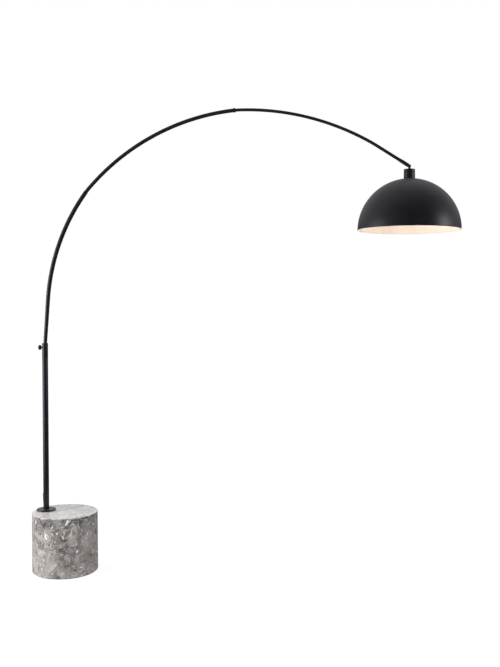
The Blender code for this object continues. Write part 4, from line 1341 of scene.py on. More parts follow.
# ------------------------------------------------------------------ pole
@dataclass
class Pole(Assembly):
    """The straight pole, the round plate at its foot and the hood where the cord goes in."""

    radius: float = 0.0125
    wall: float = 0.0015
    flange_edge: float = 0.0014
    flange_lip: float = 0.0006
    rod_bore: float = 0.0053
    slot_half: float = 0.0038
    slot_inset: float = 0.0057
    slot_reach: tuple[float, float] = (0.016, 0.009)
    hood_radii: tuple[float, float] = (0.0068, 0.0045)
    hood_proud: tuple[float, float] = (0.0016, 0.0034)
    hood_edge: float = 0.0012
    plug_half: float = 0.0035
    plug_inset: float = 0.006
    plug_reach: tuple[float, float] = (0.0133, 0.0098)
    cord_bore: float = 0.0026
    cord_slope: float = 40.0

    def build(self) -> None:
        """Builds the plate, the pole and the hood."""
        x = centre_x("pole_tube")
        low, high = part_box("foot_flange")
        reach = high.x - x
        plate = revolved(
            "foot_plate",
            softened(
                [
                    (self.rod_bore, high.z, 0),
                    (reach, high.z, self.flange_edge),
                    (reach, low.z, self.flange_lip),
                    (self.rod_bore, low.z, 0),
                ]
            ),
            PLATE_COAT,
            upright(x),
            steps=128,
        )
        settle(plate, Body.ROOT, Slot.BLACK_PAINT, "foot_flange")

        low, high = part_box("pole_tube")
        bore = self.radius - self.wall
        tube = revolved(
            "pole",
            softened(
                [
                    (bore, high.z, 0),
                    (self.radius, high.z, HARD_EDGE),
                    (self.radius, low.z, HARD_EDGE),
                    (bore, low.z, 0),
                ],
                count=2,
            ),
            BLACK_COAT,
            upright(x),
            steps=72,
        )
        outlet_low, outlet_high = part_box("cord_outlet")
        slot = block(
            (x - self.slot_reach[0], -self.slot_half, outlet_low.z + self.slot_inset),
            (x - self.slot_reach[1], self.slot_half, outlet_high.z - self.slot_inset),
            Matrix.Identity(4),
        )
        cutter = new_object("pole_slot", mesh_from("pole_slot", slot), BLACK_COAT)
        carved(tube, [cutter])
        settle(tube, Body.ROOT, Slot.BLACK_PAINT, "pole_tube")
        self._build_outlet(x)

    def _build_outlet(self, x: float) -> None:
        """The cord hood: a tapered half-round moulding with a slanting bore.

        Args:
            x: The pole's axis.
        """
        low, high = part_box("cord_outlet")
        length = high.z - low.z
        shape = bmesh.new()
        bmesh.ops.create_cone(
            shape,
            cap_ends=True,
            segments=64,
            radius1=self.hood_radii[0],
            radius2=self.hood_radii[1],
            depth=length,
        )
        for corner in shape.verts:
            end = 1 if corner.co.z > 0 else 0
            corner.co.x += x - self.radius - self.hood_proud[end] + self.hood_radii[end]
            corner.co.z += low.z + length / 2
        rims = [edge for edge in shape.edges if any(len(face.verts) > 4 for face in edge.link_faces)]
        bmesh.ops.bevel(shape, geom=rims, offset=self.hood_edge, segments=4, profile=0.5, affect="EDGES")
        hood = new_object("cord_hood", mesh_from("cord_hood", shape), NYLON)
        inside = drill(
            "hood_pole_space", self.radius + GAP, high.z + CUT_PAST, low.z - CUT_PAST, upright(x), NYLON, 96
        )
        carved(hood, [inside])
        plug = block(
            (x - self.plug_reach[0], -self.plug_half, low.z + self.plug_inset),
            (x - self.plug_reach[1], self.plug_half, high.z - self.plug_inset),
            Matrix.Identity(4),
        )
        carved(hood, [new_object("hood_plug", mesh_from("hood_plug", plug), NYLON)], "UNION")
        centre = Vector((x - self.radius, 0.0, low.z + length / 2))
        lean = math.radians(self.cord_slope)
        slope = Vector((math.sin(lean), 0.0, math.cos(lean)))
        bore = drill("hood_bore", self.cord_bore, length, -length, facing(centre, slope), NYLON, 40)
        carved(hood, [bore])
        settle(hood, Body.ROOT, Slot.NYLON, "cord_outlet")

    def dress(self) -> None:
        """Finishes the plug and the lead inside the pole."""
        dress(ZINC, "pole_foot_plug")
        dress(SLEEVE, "pole_lead")


# ------------------------------------------------------------------ collar and clamp
@dataclass
class Clamp(Assembly):
    """The collar on top of the pole, and the knob that holds the arm in it."""

    bore: float = 0.0100
    edge: float = 0.0012
    spigot_radius: float = 0.0107
    spigot_length: float = 0.025
    boss_edge: float = 0.0006
    knob_edge: float = 0.0009
    knurls: int = 36
    knurl_depth: float = 0.00035
    mouth_edge: float = 0.0004
    shoulder_edge: float = 0.0005
    boss_hole_reach: float = 0.025
    screw_bore: float = 0.0033
    thread_pitch: float = 0.0010
    thread_depth: float = 0.00022
    knob_dish: float = 0.0005
    knob_rim: tuple[float, float] = (0.0042, 0.0034)
    knob_socket: float = 0.004
    edge_zone: float = 0.0004
    edge_margin: float = 0.0012
    knob_rows: int = 7

    def build(self) -> None:
        """Builds the collar, the boss, the screw and the knob."""
        x = centre_x("clamp_collar")
        low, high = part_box("clamp_collar")
        reach = high.x - x
        shoulder = low.z + self.spigot_length
        collar = revolved(
            "collar",
            softened(
                [
                    (self.bore, high.z, self.mouth_edge),
                    (reach, high.z, self.edge),
                    (reach, shoulder, self.shoulder_edge),
                    (self.spigot_radius, shoulder, 0),
                    (self.spigot_radius, low.z, 0),
                    (self.bore, low.z, 0),
                ],
                count=5,
            ),
            BLACK_COAT,
            upright(x),
            steps=96,
        )
        boss_low, boss_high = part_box("clamp_insert")
        boss_radius = (boss_high.y - boss_low.y) / 2
        axis_z = (boss_low.z + boss_high.z) / 2
        outward = facing(Vector((x, 0.0, axis_z)), Vector((-1.0, 0.0, 0.0)))
        hole = drill("boss_hole", boss_radius + GAP, self.boss_hole_reach, 0.0, outward, BLACK_COAT, 64)
        carved(collar, [hole])
        settle(collar, Body.ROOT, Slot.BLACK_PAINT, "clamp_collar")

        near, far = x - boss_high.x, x - boss_low.x
        boss = revolved(
            "screw_boss",
            softened(
                [
                    (self.screw_bore, far, HARD_EDGE),
                    (boss_radius, far, self.boss_edge),
                    (boss_radius, near, 0),
                    (self.screw_bore, near, 0),
                ]
            ),
            BLACK_COAT,
            outward,
            steps=64,
        )
        settle(boss, Body.ROOT, Slot.BLACK_PAINT, "clamp_insert")
        self._build_knob(x, outward)

    def _build_knob(self, x: float, outward: Matrix) -> None:
        """The screw and its knurled knob.

        Args:
            x: The pole's axis.
            outward: A placing whose local Z runs out along the screw.
        """
        low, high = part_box("clamp_screw")
        radius = (high.y - low.y) / 2
        thread = [(0.0, x - low.x)]
        pitch, root = self.thread_pitch, radius - self.thread_depth
        start, end = x - high.x, x - low.x
        turns = int((end - start) / pitch)
        for turn in range(turns, 0, -1):
            height = start + pitch * turn
            thread += [
                (root, height - pitch * 0.1),
                (radius, height - pitch * 0.4),
                (radius, height - pitch * 0.6),
                (root, height - pitch * 0.9),
            ]
        thread += [(0.0, start)]
        screw = revolved("clamp_thread", thread, HARDWARE_BLACK, outward, steps=48, closed=False, sharp=50.0)
        settle(screw, Body.KNOB, Slot.BLACK_PAINT, "clamp_screw")

        low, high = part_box("clamp_knob")
        reach = (high.y - low.y) / 2
        near, far = x - high.x, x - low.x

        def knurl(angle: float, radius_here: float, height: float) -> float:
            """Shallow grooves across the knob's edge.

            Args:
                angle: Round the knob.
                radius_here: The radius there.
                height: Along its axis.

            Returns:
                The change of radius.
            """
            between = near + self.edge_margin < height < far - self.edge_margin
            on_edge = radius_here > reach - self.edge_zone and between
            return -self.knurl_depth * (0.5 - 0.5 * math.cos(self.knurls * angle)) if on_edge else 0.0

        edge_rows = [
            (reach, far - self.knob_edge - (far - near - 2 * self.knob_edge) * row / self.knob_rows, 0.0)
            for row in range(self.knob_rows + 1)
        ]
        socket = near + self.knob_socket
        outer_corner = rounded_corner((reach, far), (0.0, far), (reach, near), self.knob_edge, 5)
        inner_corner = rounded_corner((reach, near), (reach, far), (0.0, near), self.knob_edge, 5)
        profile = [
            (0.0, far - self.knob_dish, 0.0),
            (reach - self.knob_rim[0], far - self.knob_dish, 0.0),
            (reach - self.knob_rim[1], far, self.knob_dish),
            *[(radius_at, height, 0.0) for radius_at, height in outer_corner],
            *edge_rows[1:-1],
            *[(radius_at, height, 0.0) for radius_at, height in inner_corner],
            (self.screw_bore, near, 0.0),
            (self.screw_bore, socket, 0.0),
            (0.0, socket, 0.0),
        ]
        knob = revolved(
            "knob",
            softened(profile, closed=False),
            BLACK_COAT,
            outward,
            steps=self.knurls * 6,
            closed=False,
            swell=knurl,
        )
        settle(knob, Body.KNOB, Slot.BLACK_PAINT, "clamp_knob")

    def dress(self) -> None:
        """Finishes the bush and the pad, which stay inside."""
        dress(NYLON, "guide_bush", "pressure_pad")


# ------------------------------------------------------------------ arm
@dataclass(frozen=True)
class Run:
    """One stretch of the arm's centre line: straight, or bent to a radius."""

    length: float
    radius: float | None = None

    @classmethod
    def bend(cls, radius: float, degrees: float) -> "Run":
        """A bend through an angle."""
        return cls(radius * math.radians(degrees), radius)


@dataclass
class ArcArm(Assembly):
    """The three bent tubes, the ring at their second joint and the grub screws under their joints."""

    stem_depth: float = 0.320
    stem_radius: float = 0.0080
    stem_lean: float = 4.5
    stem_bend_radius: float = 0.350
    taper: float = 0.220
    joint_bend_radius: float = 0.204
    plug_length: float = 0.055
    lower: tuple[float, float] = (0.0090, 0.0009)
    middle: tuple[float, float] = (0.0078, 0.0010)
    upper: tuple[float, float] = (0.0062, 0.0009)
    ring_radius: float = 0.0091
    ring_length: float = 0.007
    ring_lip: float = 0.002
    ring_groove: tuple[float, float, float] = (0.0022, 0.0004, 0.0005)
    lip_share: float = 0.35
    step: float = 0.012
    sides: int = 40
    runs: list[Run] = field(default_factory=list)

    def __post_init__(self) -> None:
        """Lays out the centre line."""
        rise = self.stem_bend_radius * math.sin(math.radians(self.stem_lean))
        self.runs = [
            Run(self.stem_depth - rise),
            Run.bend(self.stem_bend_radius, self.stem_lean),
            Run(0.191),
            Run.bend(0.827, 34.6),
            Run.bend(self.joint_bend_radius, 4.9),
            Run.bend(0.970, 43.1),
            Run.bend(self.joint_bend_radius, 4.1),
            Run.bend(1.085, 30.35),
            Run.bend(self.joint_bend_radius, 2.3),
            Run(0.1655),
        ]
        lengths = [run.length for run in self.runs]
        self.mouth_s = sum(lengths[:2])
        self.joint_1_s = sum(lengths[:4])
        self.joint_2_s = sum(lengths[:6])
        self.end_s = sum(lengths)

    def at(self, along: float) -> tuple[Vector, float]:
        """A point of the centre line.

        Args:
            along: The length along it.

        Returns:
            The point, and its heading in radians above +X.
        """
        x, z, heading = centre_x("pole_tube"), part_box("clamp_collar")[1].z - self.stem_depth, math.radians(90)
        for run in self.runs:
            step = min(run.length, along)
            if run.radius is None:
                chord, turned = step, 0.0
            else:
                turned = step / run.radius
                chord = 2 * run.radius * math.sin(turned / 2)
            x += chord * math.cos(heading - turned / 2)
            z += chord * math.sin(heading - turned / 2)
            heading -= turned
            along -= step
            if along <= 0:
                break
        return Vector((x, 0.0, z)), heading

    def placing(self, along: float) -> Matrix:
        """A placing on the centre line whose local Z runs along it."""
        point, heading = self.at(along)
        return facing(point, Vector((math.cos(heading), 0.0, math.sin(heading))))

    def swelling(self, along: float) -> float:
        """The lower tube's size at a length along it, as a share of its full size."""
        smallest = self.stem_radius / self.lower[0]
        grown = min(1.0, max(0.0, (along - self.mouth_s) / self.taper))
        return smallest + (1.0 - smallest) * grown

    def build(self) -> None:
        """Builds the tubes and the ring."""
        plug_1, plug_2 = self.joint_1_s - self.plug_length, self.joint_2_s - self.plug_length
        tube_end = self.end_s - SLEEVE_LENGTH + SLEEVE_SOCKET - GAP
        spans = {
            "lower_tube": (0.0, self.joint_1_s, *self.lower, self.swelling, "lower_arc_tube"),
            "middle_tube": (plug_1, self.joint_2_s, *self.middle, None, "middle_arc_tube"),
            "upper_tube": (plug_2, tube_end, *self.upper, None, "upper_arc_tube"),
        }
        for name, (start, end, radius, wall, scale, node) in spans.items():
            tube = self._tube(name, start, end, radius, wall, scale)
            settle(tube, Body.ARM, Slot.BLACK_PAINT, node)
        self._build_ring()

    def _tube(
        self,
        name: str,
        start: float,
        end: float,
        radius: float,
        wall: float,
        scale: Callable[[float], float] | None,
    ) -> bpy.types.Object:
        """A bent tube with softly rounded mouths.

        Args:
            name: The piece's name.
            start: Where it starts along the centre line.
            end: Where it ends.
            radius: Its outer radius.
            wall: Its wall.
            scale: Its size at each length along, as a share of the radius.

        Returns:
            The tube.
        """
        count = max(2, math.ceil((end - start) / self.step))
        lengths = [start + (end - start) * index / count for index in range(count + 1)]
        lip = wall * self.lip_share
        outside = [(along, radius) for along in lengths[1:-1]]
        section = [
            (start, radius - wall + lip),
            (start, radius - lip),
            (start + lip, radius),
            *outside,
            (end - lip, radius),
            (end, radius - lip),
            (end, radius - wall + lip),
            (end - lip, radius - wall),
            *[(along, radius - wall) for along in reversed(lengths[1:-1])],
            (start + lip, radius - wall),
        ]
        shape = bmesh.new()
        rings = []
        for along, radius_here in section:
            placing = self.placing(along)
            size = radius_here * (scale(along) if scale else 1.0)
            turns = [math.tau * side / self.sides for side in range(self.sides)]
            points = [Vector((size * math.cos(turn), size * math.sin(turn), 0.0)) for turn in turns]
            rings.append([shape.verts.new(placing @ point) for point in points])
        for first, second in zip(rings, rings[1:] + rings[:1]):
            bridge(shape, first, second)
        return new_object(name, mesh_from(name, shape, 50.0), BLACK_COAT)

    def _build_ring(self) -> None:
        """The trim ring at the second joint."""
        over, through = self.middle[0] + GAP, self.upper[0] + GAP
        front = GAP + self.ring_lip
        back = front - self.ring_length
        from_back, depth, half = self.ring_groove
        groove = back + from_back
        ring = revolved(
            "joint_trim_ring",
            softened(
                [
                    (through, front, HARD_EDGE),
                    (self.ring_radius - 0.0003, front, 0.0009),
                    (self.ring_radius, front - 0.0016, 0.0004),
                    (self.ring_radius, groove + half, 0.0002),
                    (self.ring_radius - depth, groove, 0.0002),
                    (self.ring_radius, groove - half, 0.0002),
                    (self.ring_radius, back, 0.0006),
                    (over, back, 0.0),
                    (over, GAP, 0.0),
                    (through, GAP, 0.0),
                ],
                count=4,
            ),
            BLACK_COAT,
            self.placing(self.joint_2_s),
            steps=80,
        )
        settle(ring, Body.ARM, Slot.BLACK_PAINT, "joint_ring")

    def dress(self) -> None:
        """Finishes the glide, the lead and the grub screws."""
        dress(NYLON, "stem_glide")
        dress(SLEEVE, "arm_lead")
        dress(HARDWARE_BLACK, "joint_screw_1", "joint_screw_2", "ferrule_screw")


@dataclass
class TiltHinge(Assembly):
    """The slotted sleeve at the arm's tip, and the screw and nut that the shade tilts on."""

    arm: ArcArm
    radius: float = 0.0071
    bore: float = 0.0065
    lead_bore: float = 0.0032
    edge: float = 0.0011
    slot_half: float = 0.0033
    slot_back: float = -0.0108
    slot_reach: float = 0.02
    pin_bore: float = 0.0023
    shank_radius: float = 0.0020
    key_radius: float = 0.0017
    key_depth: float = 0.003

    def build(self) -> None:
        """Builds the sleeve, the screw and the nut."""
        tip = self.arm.placing(self.arm.end_s)
        web = SLEEVE_SOCKET - SLEEVE_LENGTH
        sleeve = revolved(
            "tip_sleeve",
            softened(
                [
                    (self.lead_bore, 0.0, HARD_EDGE),
                    (self.radius, 0.0, self.edge),
                    (self.radius, -SLEEVE_LENGTH, 0.0004),
                    (self.bore, -SLEEVE_LENGTH, 0.0),
                    (self.bore, web, 0.0),
                    (self.lead_bore, web, 0.0),
                ],
                count=4,
            ),
            BLACK_COAT,
            tip,
            steps=72,
        )
        reach = self.slot_reach
        slot = block((-reach, -self.slot_half, self.slot_back), (reach, self.slot_half, CUT_PAST), tip)
        pivot = self.pivot()
        across = facing(pivot, Vector((0.0, -1.0, 0.0)))
        hole = drill("pin_hole", self.pin_bore, reach, -reach, across, BLACK_COAT, 40)
        carved(sleeve, [new_object("sleeve_slot", mesh_from("sleeve_slot", slot), BLACK_COAT), hole])
        settle(sleeve, Body.ARM, Slot.BLACK_PAINT, "end_ferrule")
        self._build_screw(across)
        self._build_nut(pivot)

    def pivot(self) -> Vector:
        """The point that the shade tilts about."""
        low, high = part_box("tilt_screw")
        return Vector(((low.x + high.x) / 2, 0.0, (low.z + high.z) / 2))

    def _build_screw(self, across: Matrix) -> None:
        """The cheese-head screw, with a hexagon socket in its head.

        Args:
            across: A placing whose local Z runs out through the screw's head.
        """
        low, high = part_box("tilt_screw")
        head_radius = (high.x - low.x) / 2
        seat = self.radius + GAP
        screw = revolved(
            "tilt_bolt",
            softened(
                [
                    (0.0, -low.y, 0.0),
                    (head_radius, -low.y, 0.0006),
                    (head_radius, seat, 0.0002),
                    (self.shank_radius, seat, 0.0),
                    (self.shank_radius, -high.y, HARD_EDGE),
                    (0.0, -high.y, 0.0),
                ],
                closed=False,
            ),
            HARDWARE_BLACK,
            across,
            steps=48,
            closed=False,
        )
        shape = bmesh.new()
        bmesh.ops.create_cone(
            shape,
            cap_ends=True,
            segments=6,
            radius1=self.key_radius,
            radius2=self.key_radius,
            depth=self.key_depth,
        )
        place = across @ Matrix.Translation((0.0, 0.0, -low.y + 0.0003))
        bmesh.ops.transform(shape, matrix=place, verts=shape.verts)
        carved(screw, [new_object("hex_socket", mesh_from("hex_socket", shape), HARDWARE_BLACK)])
        settle(screw, Body.ARM, Slot.BLACK_PAINT, "tilt_screw")

    def _build_nut(self, pivot: Vector) -> None:
        """The hexagon nut, chamfered on its outer face.

        Args:
            pivot: The tilt axis.
        """
        low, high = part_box("tilt_nut")
        placing = facing(Vector((pivot.x, low.y, pivot.z)), Vector((0.0, 1.0, 0.0)))
        nut = hexagon("tilt_bolt_nut", (high.z - low.z) / 2, high.y - low.y, self.pin_bore, placing)
        settle(nut, Body.ARM, Slot.BLACK_PAINT, "tilt_nut")


def hexagon(name: str, corner: float, height: float, bore: float, placing: Matrix) -> bpy.types.Object:
    """A chamfered hexagon nut.

    Args:
        name: The piece's name.
        corner: Its axis to its corners.
        height: Its height.
        bore: Its bore's radius.
        placing: Its near face's centre, with local Z through it.

    Returns:
        The nut.
    """
    shape = bmesh.new()
    bmesh.ops.create_cone(shape, cap_ends=True, segments=6, radius1=corner, radius2=corner, depth=height)
    bmesh.ops.translate(shape, verts=shape.verts, vec=(0, 0, height / 2))
    bmesh.ops.transform(shape, matrix=placing, verts=shape.verts)
    nut = new_object(name, mesh_from(name, shape), HARDWARE_BLACK)
    past, flank = 0.001, corner * 1.03
    crown = revolved(
        f"{name}_crown",
        [
            (0, height + past),
            (corner * 0.72, height + past),
            (corner * 0.93, height),
            (flank, height * 0.75),
            (flank, -past),
            (0, -past),
        ],
        HARDWARE_BLACK,
        placing,
        steps=48,
        closed=False,
    )
    carved(nut, [crown], "INTERSECT")
    return carved(nut, [drill(f"{name}_bore", bore, 2 * height, -height, placing, HARDWARE_BLACK, 32)])


# ------------------------------------------------------------------ shade
@dataclass
class ShadeHead(Assembly):
    """The tilting dome, the cup above it, the lampholder in it and the bulb."""

    hinge: TiltHinge
    dome_radius: float = 0.198
    dome_wall: float = 0.0012
    rim_height: float = 0.0003
    hole_radius: float = 0.0198
    cup_wall: float = 0.0012
    cup_edge: float = 0.0018
    eye_radius: float = 0.0048
    tongue_half: float = 0.0042
    tongue_thick: float = 0.003
    nipple_radius: float = 0.005
    nipple_bore: float = 0.0026
    disc_thick: float = 0.0016
    roof_thick: float = 0.0015
    ring_skirt: float = 0.0232
    ring_flange: float = 0.0020
    ring_ribs: int = 24
    rib_depth: float = 0.0005
    neck_radius: float = 0.0080
    neck_length: float = 0.007
    holder_bore: float = 0.0145
    glass_wall: float = 0.0009
    throat_radius: float = 0.0122
    shoulder_angle: float = 42.0
    cap_wall: float = 0.0006
    thread_pitch: float = 0.0036
    thread_depth: float = 0.0007
    thread_steps: int = 8

    def build(self) -> None:
        """Builds the stem, the cup, the dome, the ring, the lampholder and the bulb."""
        self.x = self.hinge.pivot().x
        self._build_stem()
        self._build_cup()
        self._build_dome()
        self._build_ring()
        self._build_lampholder()
        self._build_bulb()
        self._build_cap()

    def _build_stem(self) -> None:
        """The tongue, its eye and the hollow stem under it."""
        low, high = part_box("swivel_stem")
        pivot = self.hinge.pivot()
        disc_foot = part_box("holder_cup")[1].z + GAP
        disc_top = disc_foot + self.disc_thick
        disc_radius = (high.x - low.x) / 2
        stem = revolved(
            "tilt_stem",
            softened(
                [
                    (self.nipple_bore, disc_top, 0.0),
                    (disc_radius, disc_top, 0.0006),
                    (disc_radius, disc_foot, 0.0002),
                    (self.nipple_radius, disc_foot, 0.0),
                    (self.nipple_radius, low.z, 0.0),
                    (self.nipple_bore, low.z, 0.0),
                ]
            ),
            BLACK_COAT,
            upright(self.x),
            steps=64,
        )
        tongue = block(
            (self.x - self.tongue_half, -self.tongue_thick, disc_foot + self.disc_thick / 2),
            (self.x + self.tongue_half, self.tongue_thick, pivot.z),
            Matrix.Identity(4),
        )
        across = facing(pivot, Vector((0.0, -1.0, 0.0)))
        eye = revolved(
            "tongue_eye",
            softened(
                [
                    (0, self.tongue_thick, 0),
                    (self.eye_radius, self.tongue_thick, HARD_EDGE),
                    (self.eye_radius, -self.tongue_thick, HARD_EDGE),
                    (0, -self.tongue_thick, 0),
                ],
                closed=False,
            ),
            BLACK_COAT,
            across,
            steps=64,
            closed=False,
        )
        carved(stem, [new_object("tongue", mesh_from("tongue", tongue), BLACK_COAT), eye], "UNION")
        hole = drill("tongue_hole", self.hinge.pin_bore, CUT_PAST, -CUT_PAST, across, BLACK_COAT, 40)
        carved(stem, [hole])
        settle(stem, Body.SHADE, Slot.BLACK_PAINT, "swivel_stem")

    def _build_cup(self) -> None:
        """The short cylinder on top of the dome."""
        low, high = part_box("holder_cup")
        foot, top = high.x - self.x, high.x - self.x - 0.0004
        bore = self.nipple_radius + GAP
        roof = high.z - self.roof_thick
        cup = revolved(
            "shade_cup",
            softened(
                [
                    (bore, high.z, 0.0002),
                    (top, high.z, self.cup_edge),
                    (foot, low.z, 0.0004),
                    (foot - self.cup_wall, low.z, 0.0),
                    (top - self.cup_wall, roof, 0.0),
                    (bore, roof, 0.0),
                ],
                count=6,
            ),
            BLACK_COAT,
            upright(self.x),
            steps=128,
        )
        settle(cup, Body.SHADE, Slot.BLACK_PAINT, "holder_cup")

    def _build_dome(self) -> None:
        """The spun dome: dark outside, pale inside, with a rounded rim."""
        rim_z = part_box("shade_dome")[0].z
        outer, inner = self.dome_radius, self.dome_radius - self.dome_wall
        count = 56

        def arc(radius: float) -> Profile:
            """A quarter round from the hole down to just above the rim."""
            start = math.asin(self.hole_radius / radius)
            angles = [start + (math.pi / 2 - start) * index / count for index in range(count + 1)]
            return [(radius * math.sin(angle), rim_z + radius * math.cos(angle)) for angle in angles]

        lip = self.dome_wall / 2
        outside, inside = arc(outer)[:-1], arc(inner)[:-1]
        middle = (outer + inner) / 2
        rim = [
            (middle + lip * math.cos(angle), rim_z + lip - lip * math.sin(angle))
            for angle in (math.pi * index / 6 for index in range(7))
        ]
        profile = outside + rim + list(reversed(inside))
        dome = revolved("dome", profile, DOME_COAT, upright(self.x), steps=192, sharp=45.0)
        dome.data.materials.append(ENAMEL.material())
        indices = [0] * len(dome.data.polygons)
        for face in dome.data.polygons:
            from_centre = face.center - Vector((self.x, 0.0, rim_z))
            under_rim = face.center.z < rim_z + self.rim_height
            indices[face.index] = 1 if from_centre.length < middle - 0.0001 or under_rim else 0
        dome.data.polygons.foreach_set("material_index", indices)
        settle(dome, Body.SHADE, Slot.BLACK_ALUMINIUM, "shade_dome")

    def _build_ring(self) -> None:
        """The ring that clamps the dome from below."""
        low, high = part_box("shade_ring")
        reach = high.x - self.x
        skirt_top = high.z - 0.0032

        def rib(angle: float, radius: float, height: float) -> float:
            """Grip ribs round the ring's skirt."""
            on_skirt = radius > self.ring_skirt - 0.0004 and height < skirt_top + 0.0004
            return -self.rib_depth * (0.5 - 0.5 * math.cos(self.ring_ribs * angle)) if on_skirt else 0.0

        ring = revolved(
            "shade_clamp_ring",
            softened(
                [
                    (self.hole_radius, high.z, 0.0),
                    (reach, high.z, 0.0),
                    (reach, high.z - self.ring_flange, 0.0006),
                    (self.ring_skirt, high.z - self.ring_flange, HARD_EDGE),
                    (self.ring_skirt, skirt_top, 0.0),
                    (self.ring_skirt, low.z, 0.0008),
                    (self.hole_radius, low.z, 0.0004),
                ]
            ),
            HARDWARE_BLACK,
            upright(self.x),
            steps=self.ring_ribs * 6,
            swell=rib,
        )
        settle(ring, Body.SHADE, Slot.BLACK_PAINT, "shade_ring")

    def _build_lampholder(self) -> None:
        """The porcelain lampholder, with the cord grip at its neck."""
        low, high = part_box("lampholder")
        reach = high.x - self.x
        neck_foot = high.z - self.neck_length
        side = neck_foot - 0.004
        floor = side - 0.0115
        bore_top = self.nipple_radius + GAP
        holder = revolved(
            "porcelain_holder",
            softened(
                [
                    (bore_top, high.z, 0.0),
                    (self.neck_radius, high.z, 0.0006),
                    (self.neck_radius, neck_foot, 0.0008),
                    (reach - 0.003, side + 0.001, 0.0010),
                    (reach, side - 0.002, 0.0010),
                    (reach, low.z, 0.0008),
                    (self.holder_bore, low.z, 0.0008),
                    (self.holder_bore, floor, 0.0),
                    (self.nipple_bore, floor, 0.0),
                    (self.nipple_bore, neck_foot, 0.0),
                    (bore_top, neck_foot, 0.0),
                ],
                count=5,
            ),
            PORCELAIN,
            upright(self.x),
            steps=112,
        )
        settle(holder, Body.SHADE, Slot.CERAMIC, "lampholder")

    def _build_bulb(self) -> None:
        """The opal bulb, thinner at its neck."""
        low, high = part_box("bulb_glass")
        radius, wall = (high.x - low.x) / 2, self.glass_wall
        centre = low.z + radius
        neck_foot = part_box("bulb_cap")[0].z - 0.004
        shoulder = math.radians(self.shoulder_angle)

        def section(round_radius: float, throat: float) -> Profile:
            """One side of the glass: its neck, its throat and its round body."""
            start = (round_radius * math.sin(shoulder), centre + round_radius * math.cos(shoulder))
            tangent = (math.cos(shoulder), -math.sin(shoulder))
            points = [(throat, high.z), (throat, neck_foot)]
            reach = 0.55 * (neck_foot - start[1])
            ends = (
                Vector((throat, neck_foot)),
                Vector((throat, neck_foot - reach)),
                Vector(start) - Vector(tangent) * reach,
                Vector(start),
            )
            for index in range(1, 13):
                share = index / 12
                point = (
                    ends[0] * (1 - share) ** 3
                    + ends[1] * 3 * share * (1 - share) ** 2
                    + ends[2] * 3 * share**2 * (1 - share)
                    + ends[3] * share**3
                )
                points.append((point.x, point.y))
            for index in range(1, 33):
                angle = shoulder + (math.pi - shoulder) * index / 32
                across, above = round_radius * math.sin(angle), round_radius * math.cos(angle)
                points.append((max(0.0, across), centre + above))
            points[-1] = (0.0, centre - round_radius)
            return points

        throat = self.throat_radius
        shell = section(radius, throat) + list(reversed(section(radius - wall, throat - wall)))
        glass = revolved("opal_bulb", shell, OPAL, upright(self.x), steps=96, sharp=60.0)
        glass.visible_shadow = False
        settle(glass, Body.SHADE, Slot.OPAL_GLASS, "bulb_glass")
        self.light_centre = Vector((self.x, 0.0, centre))
        self.glass = glass

    def _build_cap(self) -> None:
        """The bulb's threaded cap."""
        low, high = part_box("bulb_cap")
        outside, wall = high.x - self.x, self.cap_wall
        pitch, depth, steps = self.thread_pitch, self.thread_depth, self.thread_steps
        eyelet = 0.0048
        profile: Profile = [(eyelet, high.z), (0.0106, high.z), (outside - depth, high.z - 0.004)]
        height = high.z - 0.0055
        while height - pitch > low.z + 0.002:
            for index in range(steps):
                sunk = depth * (0.5 - 0.5 * math.cos(math.tau * index / steps))
                profile.append((outside - sunk, height - pitch * index / steps))
            height -= pitch
        inner = outside - depth - wall
        profile += [
            (outside, height),
            (outside, low.z),
            (outside - wall, low.z),
            (inner, low.z + 0.001),
            (inner, high.z - 0.0048),
            (0.0100, high.z - wall),
            (eyelet, high.z - wall),
        ]
        cap = revolved("bulb_thread_cap", profile, BRASS, upright(self.x), steps=72, sharp=50.0)
        settle(cap, Body.SHADE, Slot.BRASS, "bulb_cap")

    def dress(self) -> None:
        """Finishes the pieces inside the cup and the lampholder."""
        dress(ZINC, "cup_nut", "bulb_tip")
        dress(BRASS, "thread_shell", "centre_contact")
        dress(SLEEVE, "holder_lead")

    def light(
        self, power: float = 0.88, colour: Colour = (1.0, 0.895, 0.855), soft_radius: float = 0.028
    ) -> None:
        """Lights the bulb from inside.

        Args:
            power: The light's power in watts.
            colour: Its colour.
            soft_radius: The radius of the ball that the light comes from.
        """
        lamp = bpy.data.lights.new("bulb_light", "POINT")
        lamp.energy = power
        lamp.color = colour
        lamp.shadow_soft_size = soft_radius
        made = bpy.data.objects.new("bulb_light", lamp)
        bpy.context.scene.collection.objects.link(made)
        made.location = self.light_centre
        made.parent = self.glass
        LOG.info("bulb lit at %.1f W", power)


# ------------------------------------------------------------------ studio
@dataclass(frozen=True)
class SoftBox:
    """One soft studio light."""

    name: str
    place: tuple[float, float, float]
    aim: tuple[float, float, float]
    size: tuple[float, float]
    power: float
    colour: Colour = (1.0, 1.0, 1.0)
    lights_matt: bool = True

    def build(self) -> None:
        """Hangs the light and turns it to its aim."""
        lamp = bpy.data.lights.new(self.name, "AREA")
        lamp.shape = "RECTANGLE"
        lamp.size, lamp.size_y = self.size
        lamp.energy = self.power
        lamp.color = self.colour
        made = bpy.data.objects.new(self.name, lamp)
        bpy.context.scene.collection.objects.link(made)
        made.location = self.place
        towards = Vector(self.aim) - Vector(self.place)
        made.rotation_euler = towards.to_track_quat("-Z", "Y").to_euler()
        made.visible_diffuse = self.lights_matt
        made.visible_camera = False
        LOG.info("%s lit at %.0f W", self.name, self.power)


